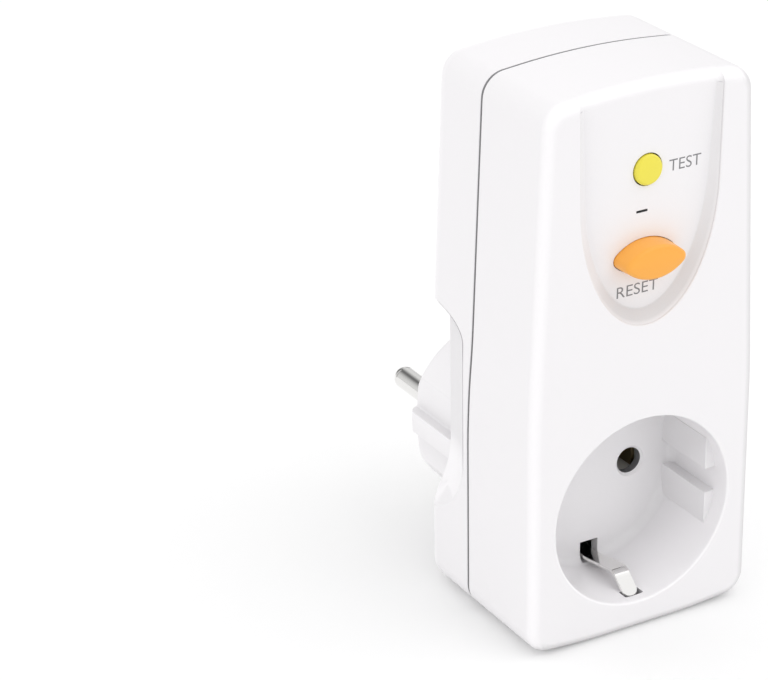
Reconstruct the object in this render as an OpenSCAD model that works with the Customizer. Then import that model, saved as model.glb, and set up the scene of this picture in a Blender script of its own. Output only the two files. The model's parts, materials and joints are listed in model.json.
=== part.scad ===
// Plug-in residual current adapter: an earthed through socket with an earth leakage trip inside.
// Seen from the front, X runs to the right, Y runs from the front face to the plug, and Z is up.

/* [Body] */
// Height of the body at the crown of its arched top
body_h = 113.5; // [111:0.5:122]
// Width at the foot
base_w = 50.5; // [49:0.5:56]
// Width at the shoulder, the widest place
shoulder_w = 50.5; // [49.5:0.5:56]
// Height of the shoulder, where the sides start to lean in
shoulder_z = 50; // [40:1:60]
// Width across the top corners
top_w = 45; // [45:0.5:50]
// Rise of the arched top over its corners
top_rise = 1.5; // [0.5:0.1:2]
// Width of the flat foot
foot_w = 24; // [24:1:36]
// Rise of the underside at its corners
foot_rise = 1; // [0.2:0.1:1]
// Corner radius of the outline
corner_r = 5; // [4:0.5:6]
// Depth of the front cover, from its face to the seam
front_depth = 23; // [23:0.5:26]
// Depth of the rear cover, from the seam to its back
rear_depth = 15.5; // [14.5:0.5:18]
// Wall thickness of both covers
wall = 2.2; // [1.8:0.1:2.4]
// Radius on the front edge
front_edge_r = 2.2; // [1:0.1:3]
// Radius on the back edge
back_edge_r = 3; // [1:0.1:3.5]
// Width of the groove along the seam
seam_w = 0.4; // [0.2:0.05:0.6]
// Depth of the groove along the seam
seam_d = 0.6; // [0.3:0.05:0.9]

/* [Finger scoops] */
// Radius of the scooped surface
scoop_r = 14; // [11:0.5:18]
// Depth of the scoop into the back face, measured from the side
scoop_in = 4; // [2.5:0.5:5]
// Distance behind the seam at which the scoop starts on the side
scoop_seam = 4; // [3:0.5:6]
// Height of the lower end of the scoop
scoop_z0 = 27; // [24:1:32]
// Height of the upper end of the scoop
scoop_z1 = 50; // [44:1:56]

/* [Control panel] */
// Width of the recessed panel where its sides start to curve in
panel_w = 30.6; // [27:0.2:34]
// Width of the recessed panel at the top
panel_top_w = 31.4; // [28:0.2:35]
// Distance from the crown of the top down to where the sides of the panel start to curve in
panel_mid_drop = 20.5; // [18:0.5:25]
// Distance from the crown of the top down to the lowest point of the panel
panel_low_drop = 48; // [45:0.1:54]
// Depth of the panel at its lowest point
panel_depth = 2.2; // [1.5:0.1:2.6]
// Depth of the panel at the top
panel_top_depth = 0.9; // [0.6:0.1:1.4]

/* [Buttons and window] */
// Distance from the indicator window down to the reset button's centre
reset_drop = 9; // [9:0.1:10.8]
// Length of the reset button's lens shape
reset_w = 14; // [11:0.5:17]
// Height of the reset button's lens shape
reset_h = 7; // [5.5:0.5:8]
// How far the reset button stands out of the front face
reset_proud = 3; // [2:0.5:5]
// Travel of the reset button
reset_travel = 3; // [2:0.25:3.5]
// Distance from the crown of the top down to the test button's centre
test_drop = 17.5; // [15.6:0.1:18.8]
// Radius of the test button
test_r = 3; // [2.2:0.1:3.6]
// Distance from the front plane back to the test button's face
test_face = 0.5; // [0:0.1:1]
// Travel of the test button
test_travel = 1.5; // [1:0.1:1.8]
// Thickness of the flange that keeps each button in
flange_t = 1.2; // [0.8:0.1:1.6]
// How far each button's flange reaches past the button
flange_lip = 1; // [0.6:0.1:1.4]
// Gap round each button
button_gap = 0.25; // [0.15:0.05:0.4]
// Distance from the test button's centre down to the indicator window
window_drop = 8.1; // [7.8:0.1:9.2]
// Distance from the middle to the indicator window, towards the left
window_left = 0.9; // [0:0.1:1.5]
// Width of the indicator window
window_w = 2.6; // [1.6:0.2:3.4]
// Height of the indicator window
window_h = 0.8; // [0.5:0.1:1.4]

/* [Socket] */
// Height of the socket axis and of the plug axis
socket_z = 26; // [23.5:0.25:26]
// Radius of the socket well
well_r = 19.75; // [19:0.25:20.5]
// Depth of the socket well
well_depth = 18.5; // [17:0.25:18.75]
// Thickness of the well's floor
floor_t = 2.2; // [1.6:0.1:2.6]
// Width of the bevel on the well's rim
rim_bevel = 0.4; // [0.2:0.1:0.8]
// Distance between the pins, and between their holes
pin_pitch = 19; // [18.5:0.1:19.5]
// Radius of the pin holes in the floor
pin_hole_r = 2.75; // [2.5:0.05:3]
// How far the flat faces of the guide ribs stand in from the well's wall
rib_depth = 2.5; // [2.5:0.05:3.6]
// Height of each guide rib
rib_h = 6.8; // [5:0.2:8]
// Gap between the two guide ribs on one side
rib_gap = 5.2; // [4.8:0.1:6]
// Distance from the front face to the ends of the guide ribs
rib_stop = 4; // [3:0.5:7]
// Width of the earthing clips
clip_w = 3.6; // [3:0.1:4]
// How far the bend of the earthing clips stands in from the well's wall
clip_inset = 3.15; // [2.6:0.05:4]
// Distance from the front face to the bend of the earthing clips
clip_bend = 8; // [6:0.5:10]

/* [Plug] */
// Radius of the plug
plug_r = 18.7; // [18.2:0.1:19.2]
// Length of the plug from the back of the body to its face
plug_len = 19.5; // [18:0.5:22]
// Radius of the hollow inside the plug
plug_bore_r = 14; // [13.5:0.1:14.6]
// Thickness of the plug's face
face_t = 2.5; // [2:0.1:3]
// Radius on the edge of the plug's face
face_edge_r = 2.5; // [1:0.1:3]
// How far the flange that holds the plug reaches past it
plug_lip = 1.2; // [0.8:0.1:1.8]
// Thickness of the flange that holds the plug
plug_flange_t = 2; // [1.5:0.1:2.5]
// Radius of the pins
pin_r = 2.4; // [2:0.05:2.4]
// Length of the pins outside the plug
pin_len = 19; // [18:0.5:20]
// Radius of the dark collar round each pin
collar_r = 3.5; // [3.1:0.1:4]
// Length of the pins inside the plug, behind the insulating bridge
pin_tail = 4; // [3:0.5:6]
// Distance from the plug axis to the flats beside the pins
flat_r = 16.3; // [15.8:0.1:16.8]
// Width of the rib that divides each flat
flat_rib_w = 4.5; // [3:0.5:4.7]
// Distance from the back of the body to the start of the flats
flat_start = 2.5; // [2:0.5:6]
// Width of the slots for the plug's earthing contacts
slot_w = 3.4; // [3:0.1:4]
// Width of the opening for the earthing receptacle
receptacle_w = 11.5; // [10:0.5:11.5]
// Height of the opening for the earthing receptacle
receptacle_h = 11; // [9:0.5:11]
// Distance from the plug axis up to the receptacle's centre
receptacle_rise = 8.4; // [8:0.1:8.8]

/* [Fasteners] */
// Distance from the middle to the lower screws
low_screw_x = 17.25; // [16.5:0.25:18]
// Height of the lower screws
low_screw_z = 5.4; // [5:0.1:5.8]
// Distance from the middle to the upper screws
high_screw_x = 16.5; // [15.5:0.25:17]
// Distance from the crown of the top down to the upper screws
high_screw_drop = 7.5; // [7:0.25:8]
// Radius of the screw's shank
screw_r = 1.5; // [1.2:0.1:1.6]
// Radius of the screw's head
head_r = 2.3; // [2:0.1:2.5]
// Height of the screw's head
head_h = 2; // [1.5:0.1:2.4]
// Length of the screw's shank
screw_len = 14; // [10:0.5:16]
// Wall round each screw
boss_wall = 1.1; // [0.8:0.1:1.3]
// Thickness of the seat under each screw's head
seat_t = 5; // [3:0.5:7]

/* [Mechanism] */
// Distance from the middle to the contacts of each pole
pole_x = 12.5; // [12:0.1:13]
// Distance from the reset axis to the contact tips
tip_dz = 5; // [4.5:0.1:5.5]
// Radius of the contact tips
tip_r = 1.5; // [1:0.1:1.8]
// Height of the contact tips
tip_h = 0.6; // [0.4:0.1:0.8]
// Gap between open contact tips
contact_gap = 2; // [1.5:0.1:2.4]
// Width of the contact strips
strip_w = 4; // [3.6:0.1:4.2]
// Thickness of the contact strips
strip_t = 0.8; // [0.6:0.05:0.9]
// Thickness of the mechanism's chassis plate
chassis_t = 2; // [1.5:0.1:2.5]
// Height of the contact carriage
carriage_h = 16; // [15:0.5:17]
// Thickness of the contact carriage
carriage_t = 5; // [4:0.25:5.5]
// Thickness of the latch plate
latch_t = 0.8; // [0.6:0.05:1]
// Width of the latch plate
latch_w = 8; // [7:0.25:8.5]
// Distance from the reset axis to the top of the latch plate
latch_rise = 11.5; // [11:0.1:12]
// Travel of the latch plate and of the plunger
latch_travel = 1.5; // [1:0.1:1.7]
// Radius of the reset stem
stem_r = 2; // [1.6:0.1:2.2]
// Radius of the carriage's guide posts
guide_r = 1.2; // [1:0.05:1.4]
// Distance from the middle to the guide posts
guide_x = 8; // [7.75:0.05:8.25]
// Wire radius of the springs
spring_wire_r = 0.35; // [0.25:0.05:0.4]

/* [Trip coil and board] */
// Radius of the plunger
plunger_r = 2; // [1.7:0.05:2.1]
// Outer radius of the winding
winding_r = 4.5; // [4:0.1:4.6]
// Length of the coil between the cheeks of its bobbin
coil_len = 9; // [8:0.25:9.5]
// Thickness of the bobbin's walls
bobbin_t = 0.7; // [0.5:0.05:0.8]
// Thickness of the coil's iron frame
yoke_t = 1.2; // [0.8:0.1:1.5]
// Thickness of the circuit board
board_t = 1.6; // [1:0.2:2]
// Gap between the circuit board and the back wall
board_gap = 1.3; // [1:0.1:1.8]
// Gap between the trip coil and the circuit board
coil_board_gap = 0.4; // [0.3:0.05:0.6]
// Half width of the circuit board
board_x = 17; // [16.5:0.25:17.5]
// Outer radius of the current transformer
ct_r = 8; // [7:0.25:8.3]
// Radius of the hole through the current transformer
ct_hole_r = 3.4; // [3:0.1:4]
// Height of the current transformer
ct_h = 7; // [6:0.5:8]
// Thickness of the current transformer's case
ct_case_t = 0.8; // [0.6:0.1:1]
// Radius of the supply wires
wire_r = 0.9; // [0.7:0.05:1]

/* [Clearances] */
// Gap between pieces that slide on each other
slip = 0.2; // [0.1:0.05:0.25]
// Gap round pieces that are pushed into a hole
push_gap = 0.03; // [0.02:0.01:0.05]
// Gap round pieces that drop into a pocket
drop_gap = 0.3; // [0.2:0.05:0.35]

/* [Hidden] */

$fn = 48;
arc_steps = 6;
side_names = [-1, 1];
// How far a cut runs past the face that it opens
over = 1;
// Gap at the ends of a spring
sliver = 0.02;

// Depths along Y, counted from the front face
body_depth = front_depth + rear_depth;
floor_back = well_depth + floor_t;
pad_back = panel_depth + wall;
plug_face = body_depth + plug_len;
pin_tip = plug_face + pin_len;
back_inside = body_depth - wall;
plug_flange_y = back_inside - plug_flange_t;
board_back = back_inside - board_gap;
board_front = board_back - board_t;
cheek_r = winding_r + slip;
coil_y = board_front - coil_board_gap - cheek_r;
latch_back = coil_y + contact_gap / 2 + latch_t / 2;
latch_front = latch_back - latch_t;
carriage_back = latch_front - slip;
carriage_front = carriage_back - carriage_t;
bridge_front = carriage_front - strip_t;
chassis_back = bridge_front - 2 * tip_h - contact_gap - strip_t;
chassis_front = chassis_back - chassis_t;
flange_front = pad_back + slip;
flange_back = flange_front + flange_t;
stem_end = board_front - reset_travel - drop_gap;
y_middle = (pin_tip - reset_proud) / 2;

// Heights of the controls, counted down from the crown of the top
panel_mid_z = body_h - panel_mid_drop;
panel_low_z = body_h - panel_low_drop;
test_z = body_h - test_drop;
window_z = test_z - window_drop;
reset_z = window_z - reset_drop;

// Outline of the body
arch_r = (pow(top_w / 2, 2) + pow(top_rise, 2)) / 2 / top_rise;
panel_tilt = atan((panel_depth - panel_top_depth) / (body_h - panel_low_z));
high_screw_z = body_h - high_screw_drop;
screw_places = [for (s = side_names) for (p = [[low_screw_x, low_screw_z], [high_screw_x, high_screw_z]])
    [s * p[0], p[1]]];
boss_r = head_r + slip + boss_wall;
head_seat = front_depth + seat_t;

// Finger scoop: a circle through its line on the side and its line on the back
scoop_y0 = front_depth + scoop_seam;
scoop_chord = norm([scoop_in, body_depth - scoop_y0]);
scoop_stand = sqrt(pow(scoop_r, 2) - pow(scoop_chord / 2, 2));
scoop_x = shoulder_w / 2 - scoop_in / 2 + scoop_stand * (body_depth - scoop_y0) / scoop_chord;
scoop_y = (scoop_y0 + body_depth) / 2 + scoop_stand * scoop_in / scoop_chord;

// Reset button: a lens between two arcs
lens_r = (pow(reset_w / 2, 2) + pow(reset_h / 2, 2)) / reset_h;

// Socket contacts and earthing
clip_t = strip_t;
clip_stand = 1.4;
clip_knee = 1;
clip_past_wall = 0.5;
clip_tab_len = 5;
clip_flex_room = 2.4;
clip_notch_h = 1.6;
clip_notch_in = 2;
bracket_y = floor_back + clip_t / 2 + slip;
rib_flat = well_r - rib_depth;
clip_reach = well_r - clip_inset;
clip_root = clip_reach + clip_stand;
clip_tip = well_r + clip_past_wall;
clip_slot_w = clip_w + 2 * drop_gap;
clip_slot_z0 = clip_root - clip_t / 2 - clip_flex_room;
clip_slot_z1 = clip_root + clip_t / 2 + drop_gap;
clip_tip_y = clip_bend - clip_tab_len;
leaf_len = 8;
leaf_h = 6;
leaf_pocket_w = 2 * (pin_r + strip_t + drop_gap);
leaf_start = floor_back + slip + clip_t;
leaf_base = leaf_start + leaf_len;
holder_wall_x = 2;
holder_wall_z = 3;
holder_h = leaf_h + 2 * drop_gap + 2 * holder_wall_z;
holder_x = pin_pitch / 2 + leaf_pocket_w / 2 + holder_wall_x;
holder_back = leaf_base - slip;

// Plug inside
face_inside = plug_face - face_t;
bridge_t = 3.5;
bridge_y = face_inside - bridge_t;
bridge_r = plug_bore_r - slip;
strap_t = 1;
strap_w = slot_w - 2 * drop_gap;
strap_inset = 1.6;
strap_bow = 0.6;
strap_turn = 1.5;
strap_y = bridge_y - strap_t / 2;
strap_r = plug_r - strap_inset;
strap_len = strap_y - body_depth - flat_start - strap_turn - strap_t;
frame_wall = 1.4;
leaf_setback = 1;
link_r = 1.4;
pin_step = 0.2;
pin_head_lip = 0.8;
pin_head_t = 1;
pin_shank_r = pin_r - pin_step;
pin_head_r = pin_r + pin_head_lip;

// Current transformer, between the socket and the mechanism
shelf_t = 1.6;
ct_back_gap = 1;
wire_gap = 0.6;
wire_stand = 2.8;
wire_lead = 2;
wire_end_rise = 3;
ct_y = back_inside - ct_r - ct_back_gap;
ct_z0 = socket_z + max(well_r + wall + slip, plug_r + plug_lip + slip + shelf_t + slip);
ct_z1 = ct_z0 + ct_h;
wire_x = pole_x + strip_w / 2 + wire_stand;
wire_pair_x = wire_r + wire_gap;
wire_low_y = (leaf_base + strip_t + plug_flange_y) / 2;
wire_cross_y = leaf_base - wire_r - 3 * wire_gap;
wire_cross_z = ct_z1 + wire_r + wire_gap;
wire_end_z = reset_z + tip_dz + tip_r + wire_end_rise;
strip_bend_z0 = wire_cross_z + wire_r + 2 * wire_gap;

// Chassis and carriage
chassis_side = 2;
chassis_under = 4;
chassis_top = 5;
chassis_x = pole_x + strip_w / 2 + chassis_side;
chassis_z0 = reset_z - carriage_h / 2 - chassis_under;
chassis_z1 = test_z + chassis_top;
strip_end = 0.5;
strip_seat = 1;
stake_r = 1;
stake_end = 0.5;
post_r = 2;
post_x = chassis_x - post_r;
post_places = [for (s = side_names) for (z = [chassis_z0 + post_r, chassis_z1 - post_r]) [s * post_x, z]];
carriage_side = 1;
carriage_x = pole_x + strip_w / 2 + carriage_side;
hook_w = 3;
hook_t = 1.2;
hook_x = latch_w / 2 + slip + strip_t + slip;
flag_lip = 0.7;
flag_gap = 0.6;
flag_base = 1.5;
flag_w = window_w + 2 * flag_lip;
flag_h = window_h + 2 * flag_lip;
flag_front = pad_back + contact_gap + flag_gap;
reset_spring_gap = 1.7;
reset_spring_turns = 7;
reset_spring_r = stem_r + reset_spring_gap;
trip_spring_gap = 1.4;
trip_spring_turns = 3;
trip_spring_r = stem_r + trip_spring_gap;
test_stem_r = 1.2;
test_stem_end = 0.5;
test_spring_gap = 1;
test_spring_turns = 8;
test_spring_r = test_stem_r + test_spring_gap;
test_tip = chassis_back + test_stem_end;
leaf_spring_foot = 3;
leaf_spring_rise = 2;
leaf_spring_past = 1;
leaf_spring_t = 0.4;
leaf_spring_y = test_tip + test_travel + slip + leaf_spring_t / 2;

// Trip coil, over the latch plate
plunger_tip_z = reset_z + latch_rise + drop_gap;
plunger_rest = 0.4;
coil_z0 = plunger_tip_z + latch_travel + plunger_rest;
coil_z1 = coil_z0 + coil_len + 2 * bobbin_t + 2 * yoke_t;
yoke_x = cheek_r + slip + yoke_t;
plunger_spring_turns = 2;
plunger_spring_rest = 1.8;
plunger_spring_len = latch_travel + plunger_spring_rest;
plunger_head_lip = 1.3;
plunger_head_r = plunger_r + plunger_head_lip;
plunger_head_t = 1;
bobbin_bore_r = plunger_r + slip / 2;

// Circuit board
board_lift = 2.5;
board_edge_gap = 0.6;
board_past_coil = 1;
board_pin_in = 2.5;
part_shift = 0.4;
part_lift = 0.3;
part_leg_r = 0.3;
part_leg_reach = 1;
board_z0 = ct_z1 + board_lift;
board_z1 = high_screw_z - boss_r - board_edge_gap;
board_tongue_x = high_screw_x - boss_r - board_edge_gap;
board_tongue_z = coil_z1 + board_past_coil;
board_pin_places = [for (s = side_names) [s * (board_x - board_pin_in), board_z0 + board_pin_in]];
part_x = (yoke_x + board_x) / 2 + part_shift;

// A flat shape in X and Z, given depth from y0 to y1
module slab(y0, y1) translate([0, y1, 0]) rotate([90, 0, 0]) linear_extrude(y1 - y0) children();

// A round bar along Y
module rod(x, z, y0, y1, r) translate([x, y1, z]) rotate([90, 0, 0]) cylinder(h = y1 - y0, r = r);

// A block centred on x, from y0 to y1 and from z0 to z1
module block(x, w, y0, y1, z0, z1) translate([x - w / 2, y0, z0]) cube([w, y1 - y0, z1 - z0]);

// A bent strip: points in the plane, each stretch a bar with round ends
module bent_strip(points, t) {
    for (i = [0 : len(points) - 2]) {
        run = points[i + 1] - points[i];
        translate(points[i]) rotate(atan2(run[1], run[0])) translate([0, -t / 2]) square([norm(run), t]);
    }
    for (i = [1 : len(points) - 2]) translate(points[i]) circle(d = t);
}

// A strip bent in the Y and Z plane, of width w along X and centred on x
module strip_yz(x, w, points, t) translate([x - w / 2, 0, 0]) rotate([90, 0, 90]) linear_extrude(w)
    bent_strip(points, t);

function unit(v) = v / norm(v);

// A strip drawn as one outline with mitred corners
function strip_side(points, d) = [for (i = [0 : len(points) - 1])
    let (last = len(points) - 1,
        a = unit(points[max(i, 1)] - points[max(i, 1) - 1]),
        b = unit(points[min(i, last - 1) + 1] - points[min(i, last - 1)]))
    points[i] + d * [-a[1] - b[1], a[0] + b[0]] / (1 + a * b)];
function backward(points) = [for (i = [len(points) - 1 : -1 : 0]) points[i]];
module mitred_strip_yz(w, points, t) translate([-w / 2, 0, 0]) rotate([90, 0, 90]) linear_extrude(w)
    polygon(concat(strip_side(points, t / 2), backward(strip_side(points, -t / 2))));

// Points of a route whose corners are cut by short curves
function eased(points, cut) = [for (i = [0 : len(points) - 1])
    each (i == 0 || i == len(points) - 1) ? [points[i]] :
    let (p = points[i], a = p + cut * unit(points[i - 1] - p), b = p + cut * unit(points[i + 1] - p))
    [for (t = [0 : 0.25 : 1]) (1 - t) * (1 - t) * a + 2 * t * (1 - t) * p + t * t * b]];
function heading(p, i) = unit((i > 0 ? unit(p[i] - p[i - 1]) : [0, 0, 0])
    + (i < len(p) - 1 ? unit(p[i + 1] - p[i]) : [0, 0, 0]));
function carried(p, side, i) = i == len(p) ? [] :
    let (flat = unit(side - (side * heading(p, i)) * heading(p, i)))
    concat([flat], carried(p, flat, i + 1));

// Faces of a closed tube whose points are rings of the same number of sides
function tube_faces(runs, sides) = let (last = runs * sides) concat(
    [for (i = [0 : runs - 1]) for (k = [0 : sides - 1])
        let (a = i * sides + k, b = i * sides + (k + 1) % sides)
        each [[a, a + sides, b], [b, a + sides, b + sides]]],
    [for (k = [1 : sides - 2]) each [[0, k, k + 1], [last, last + k + 1, last + k]]]);

// A round wire swept along a route, whose first stretch runs square to side
module wire(route, r, side, sides = 8) {
    bend = 1.2 * r;
    path = eased(route, bend);
    across = carried(path, side, 0);
    points = [for (i = [0 : len(path) - 1]) for (k = [0 : sides - 1])
        let (turn = 360 * k / sides, square_to = cross(heading(path, i), across[i]))
        path[i] + r * cos(turn) * across[i] + r * sin(turn) * square_to];
    polyhedron(points = points, faces = tube_faces(len(path) - 1, sides));
}

// A coil spring that fills the length from 0 to h along Z
module coil_spring(r, h, turns) {
    rings_per_turn = 12;
    sides = 6;
    rings = turns * rings_per_turn;
    rise = h - 2 * spring_wire_r - 2 * sliver;
    points = [for (i = [0 : rings]) for (k = [0 : sides - 1])
        let (turn = 360 * i / rings_per_turn, spread = r + spring_wire_r * cos(360 * k / sides))
        [spread * cos(turn), spread * sin(turn),
            sliver + spring_wire_r + rise * i / rings + spring_wire_r * sin(360 * k / sides)]];
    polyhedron(points = points, faces = tube_faces(rings, sides));
}

// A coil spring along Y, from y0 to y1
module spring_y(x, z, y0, y1, r, turns) translate([x, y0, z]) rotate([-90, 0, 0])
    coil_spring(r, y1 - y0, turns);

// Body outline, drawn in from its edge by inset
module body_outline(inset = 0) offset(r = corner_r - inset) offset(delta = -corner_r) intersection() {
    polygon([[-foot_w / 2, 0], [foot_w / 2, 0],
        [base_w / 2, foot_rise], [shoulder_w / 2, shoulder_z], [top_w / 2, body_h],
        [-top_w / 2, body_h], [-shoulder_w / 2, shoulder_z], [-base_w / 2, foot_rise]]);
    translate([0, body_h - arch_r]) circle(r = arch_r, $fn = 240);
}

// A solid body from a square end at y_square to an end at y_round whose edge is rounded
module rounded_body(y_square, y_round, r) {
    inward = sign(y_square - y_round);
    hull() for (i = [0 : arc_steps]) {
        turn = 90 * i / arc_steps;
        y = y_round + inward * r * (1 - cos(turn));
        slab(min(y, y_square), max(y, y_square)) body_outline(r * (1 - sin(turn)));
    }
}

module panel_outline(grow = 0) {
    half_w = panel_w / 2 + grow;
    drop = panel_mid_z - panel_low_z + grow;
    top_half_w = panel_top_w / 2 + grow;
    steps = 24;
    polygon(concat([[-top_half_w, body_h + wall], [top_half_w, body_h + wall]],
        [for (i = [0 : steps]) let (turn = 180 * i / steps)
            [half_w * cos(turn), panel_mid_z - drop * sin(turn)]]));
}

module panel_recess() intersection() {
    slab(-wall, pad_back) panel_outline();
    translate([0, panel_depth, panel_low_z]) rotate([panel_tilt, 0, 0])
        translate([-body_h / 2, -body_h, -body_h / 2]) cube([body_h, body_h, 2 * body_h]);
}

module lens(grow = 0) intersection_for (s = side_names)
    translate([0, s * (lens_r - reset_h / 2)]) circle(r = lens_r + grow, $fn = 96);

function earth_clip_points(s) = [[bracket_y, socket_z + s * clip_root],
    [well_depth - clip_knee, socket_z + s * clip_root], [clip_bend, socket_z + s * clip_reach],
    [clip_tip_y, socket_z + s * clip_tip]];

module front_cover() color("white") {
    difference() {
        union() {
            difference() {
                rounded_body(front_depth, 0, front_edge_r);
                slab(wall, front_depth + over) body_outline(wall);
            }
            intersection() {
                slab(wall / 2, pad_back) panel_outline(wall);
                slab(0, pad_back) body_outline(wall / 2);
            }
            rod(0, socket_z, wall / 2, floor_back, well_r + wall);
            for (p = screw_places) rod(p[0], p[1], wall / 2, front_depth, boss_r);
            for (p = post_places) {
                rod(p[0], p[1], wall / 2, chassis_front, post_r);
                rod(p[0], p[1], chassis_front - over, chassis_back, stake_r);
            }
        }
        panel_recess();
        rod(0, socket_z, -over, well_depth, well_r);
        translate([0, rim_bevel, socket_z]) rotate([90, 0, 0])
            cylinder(h = 2 * rim_bevel, r1 = well_r, r2 = well_r + 2 * rim_bevel);
        for (s = side_names) {
            rod(s * pin_pitch / 2, socket_z, well_depth - over, floor_back + over, pin_hole_r);
            translate([0, 0, socket_z]) mirror([0, 0, s < 0 ? 1 : 0]) {
                block(0, clip_slot_w, well_depth - over, floor_back + over, clip_slot_z0, clip_slot_z1);
                block(0, clip_slot_w, clip_tip_y - clip_t, clip_tip_y + clip_notch_h,
                    well_r - clip_notch_in, clip_tip + clip_t);
            }
        }
        for (p = screw_places)
            rod(p[0], p[1], head_seat - screw_len - over, front_depth + over, screw_r + push_gap);
        translate([0, 0, reset_z]) slab(-wall, pad_back + over) lens(button_gap);
        rod(0, test_z, -wall, pad_back + over, test_r + button_gap);
        block(-window_left, window_w, -wall, pad_back + over, window_z - window_h / 2, window_z + window_h / 2);
    }
    intersection() {
        rod(0, socket_z, rib_stop, well_depth + floor_t / 2, well_r + wall / 2);
        for (x = side_names) for (z = side_names) {
            middle = socket_z + z * (rib_gap + rib_h) / 2;
            block(x * (rib_flat + well_r) / 2, well_r - rib_flat, rib_stop, well_depth + floor_t / 2,
                middle - rib_h / 2, middle + rib_h / 2);
        }
    }
}

// The capsule that cuts a finger scoop, or with grow the wall kept round it
module scoop(s, grow = 0) {
    r = scoop_r + grow;
    for (z = [scoop_z0, scoop_z1]) translate([s * scoop_x, scoop_y, z]) sphere(r = r, $fn = 96);
    translate([s * scoop_x, scoop_y, scoop_z0]) cylinder(h = scoop_z1 - scoop_z0, r = r, $fn = 96);
}

module rear_cover() color("white") difference() {
    union() {
        difference() {
            rounded_body(front_depth, body_depth, back_edge_r);
            slab(front_depth - over, back_inside) body_outline(wall);
        }
        for (p = screw_places) rod(p[0], p[1], front_depth, body_depth - wall / 2, boss_r);
        intersection() {
            for (s = side_names) scoop(s, wall);
            slab(front_depth, body_depth - wall / 2) body_outline(wall / 2);
        }
        for (p = board_pin_places) {
            rod(p[0], p[1], board_back, body_depth - wall / 2, post_r);
            rod(p[0], p[1], board_front - stake_end, body_depth - wall / 2, stake_r);
        }
        block(0, 2 * ct_r, ct_y - ct_r / 2, body_depth - wall / 2, ct_z0 - shelf_t, ct_z0);
    }
    difference() {
        slab(front_depth - over, front_depth + seam_w) square([4 * body_h, 4 * body_h], center = true);
        slab(front_depth - 2 * over, front_depth + seam_w + over) body_outline(seam_d);
    }
    for (s = side_names) scoop(s);
    rod(0, socket_z, front_depth - over, back_inside, plug_r + plug_lip + slip);
    rod(0, socket_z, back_inside - over, body_depth + over, plug_r + push_gap);
    for (p = screw_places) {
        rod(p[0], p[1], front_depth - over, body_depth, screw_r + slip);
        rod(p[0], p[1], head_seat, body_depth + over, head_r + slip);
    }
    translate([0, ct_y, ct_z0 - 2 * shelf_t]) cylinder(h = 3 * shelf_t, r = ct_hole_r);
}

module cover_screws() color("silver") for (p = screw_places) difference() {
    union() {
        rod(p[0], p[1], head_seat - screw_len, head_seat + over, screw_r);
        rod(p[0], p[1], head_seat, head_seat + head_h, head_r);
    }
    cross_len = 1.4 * head_r;
    cross_w = head_h / 4;
    for (turn = [0, 90]) translate([p[0], head_seat + head_h, p[1]]) rotate([0, turn, 0])
        cube([cross_len, head_h, cross_w], center = true);
}

// Round shape of the plug, turned about its axis
module plug_turned() translate([0, 0, socket_z]) rotate([-90, 0, 0]) rotate_extrude($fn = 96) difference() {
    union() {
        translate([0, plug_flange_y]) square([plug_r + plug_lip, plug_flange_t]);
        translate([0, plug_flange_y]) square([plug_r, plug_face - face_edge_r - plug_flange_y]);
        translate([0, plug_flange_y]) square([plug_r - face_edge_r, plug_face - plug_flange_y]);
        translate([plug_r - face_edge_r, plug_face - face_edge_r]) circle(r = face_edge_r);
    }
    translate([-over, plug_flange_y - over])
        square([plug_bore_r + over, face_inside - plug_flange_y + over]);
}

module plug_body() color("white") difference() {
    plug_turned();
    for (s = side_names) {
        rod(s * pin_pitch / 2, socket_z, bridge_y - push_gap, plug_face + over, collar_r + push_gap);
        for (z = side_names)
            block(s * (flat_r + plug_r), 2 * plug_r, body_depth + flat_start, plug_face + over,
                socket_z + z * (flat_rib_w / 2 + plug_r / 2) - plug_r / 2,
                socket_z + z * (flat_rib_w / 2 + plug_r / 2) + plug_r / 2);
        block(0, slot_w, body_depth + flat_start, face_inside - slip,
            socket_z + s * plug_r - plug_r / 2, socket_z + s * plug_r + plug_r / 2);
    }
    block(0, receptacle_w + 2 * push_gap, bridge_y - push_gap, plug_face + over,
        socket_z + receptacle_rise - receptacle_h / 2 - push_gap,
        socket_z + receptacle_rise + receptacle_h / 2 + push_gap);
}

// Dark insulating bridge that holds the pins and frames the earthing receptacle
module pin_bridge() color([0.1, 0.1, 0.1]) difference() {
    union() {
        rod(0, socket_z, bridge_y, face_inside, bridge_r);
        for (s = side_names) rod(s * pin_pitch / 2, socket_z, bridge_y, plug_face, collar_r);
        block(0, receptacle_w, bridge_y, plug_face, socket_z + receptacle_rise - receptacle_h / 2,
            socket_z + receptacle_rise + receptacle_h / 2);
    }
    for (s = side_names)
        rod(s * pin_pitch / 2, socket_z, bridge_y - over, plug_face + over, pin_shank_r + push_gap);
    block(0, receptacle_w - 2 * frame_wall, bridge_y - over, plug_face + over,
        socket_z + receptacle_rise - receptacle_h / 2 + frame_wall,
        socket_z + receptacle_rise + receptacle_h / 2 - frame_wall);
}

module plug_pin(s) color("silver") {
    rod(s * pin_pitch / 2, socket_z, plug_face, pin_tip - pin_r, pin_r);
    rod(s * pin_pitch / 2, socket_z, bridge_y - pin_tail, plug_face + over, pin_shank_r);
    translate([s * pin_pitch / 2, pin_tip - pin_r, socket_z]) sphere(r = pin_r);
    rod(s * pin_pitch / 2, socket_z, bridge_y - pin_head_t, bridge_y, pin_head_r);
}

module line_pin() plug_pin(1);

module neutral_pin() plug_pin(-1);

// One strip across the plug, whose ends turn back along the slots
module plug_earth_strap() color("silver") for (s = side_names)
    strip_yz(0, strap_w, [[strap_y, socket_z], [strap_y, socket_z + s * strap_r],
        [strap_y - strap_len, socket_z + s * (strap_r + strap_bow)],
        [strap_y - strap_len - strap_turn, socket_z + s * (strap_r - strap_bow)]], strap_t);

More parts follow.
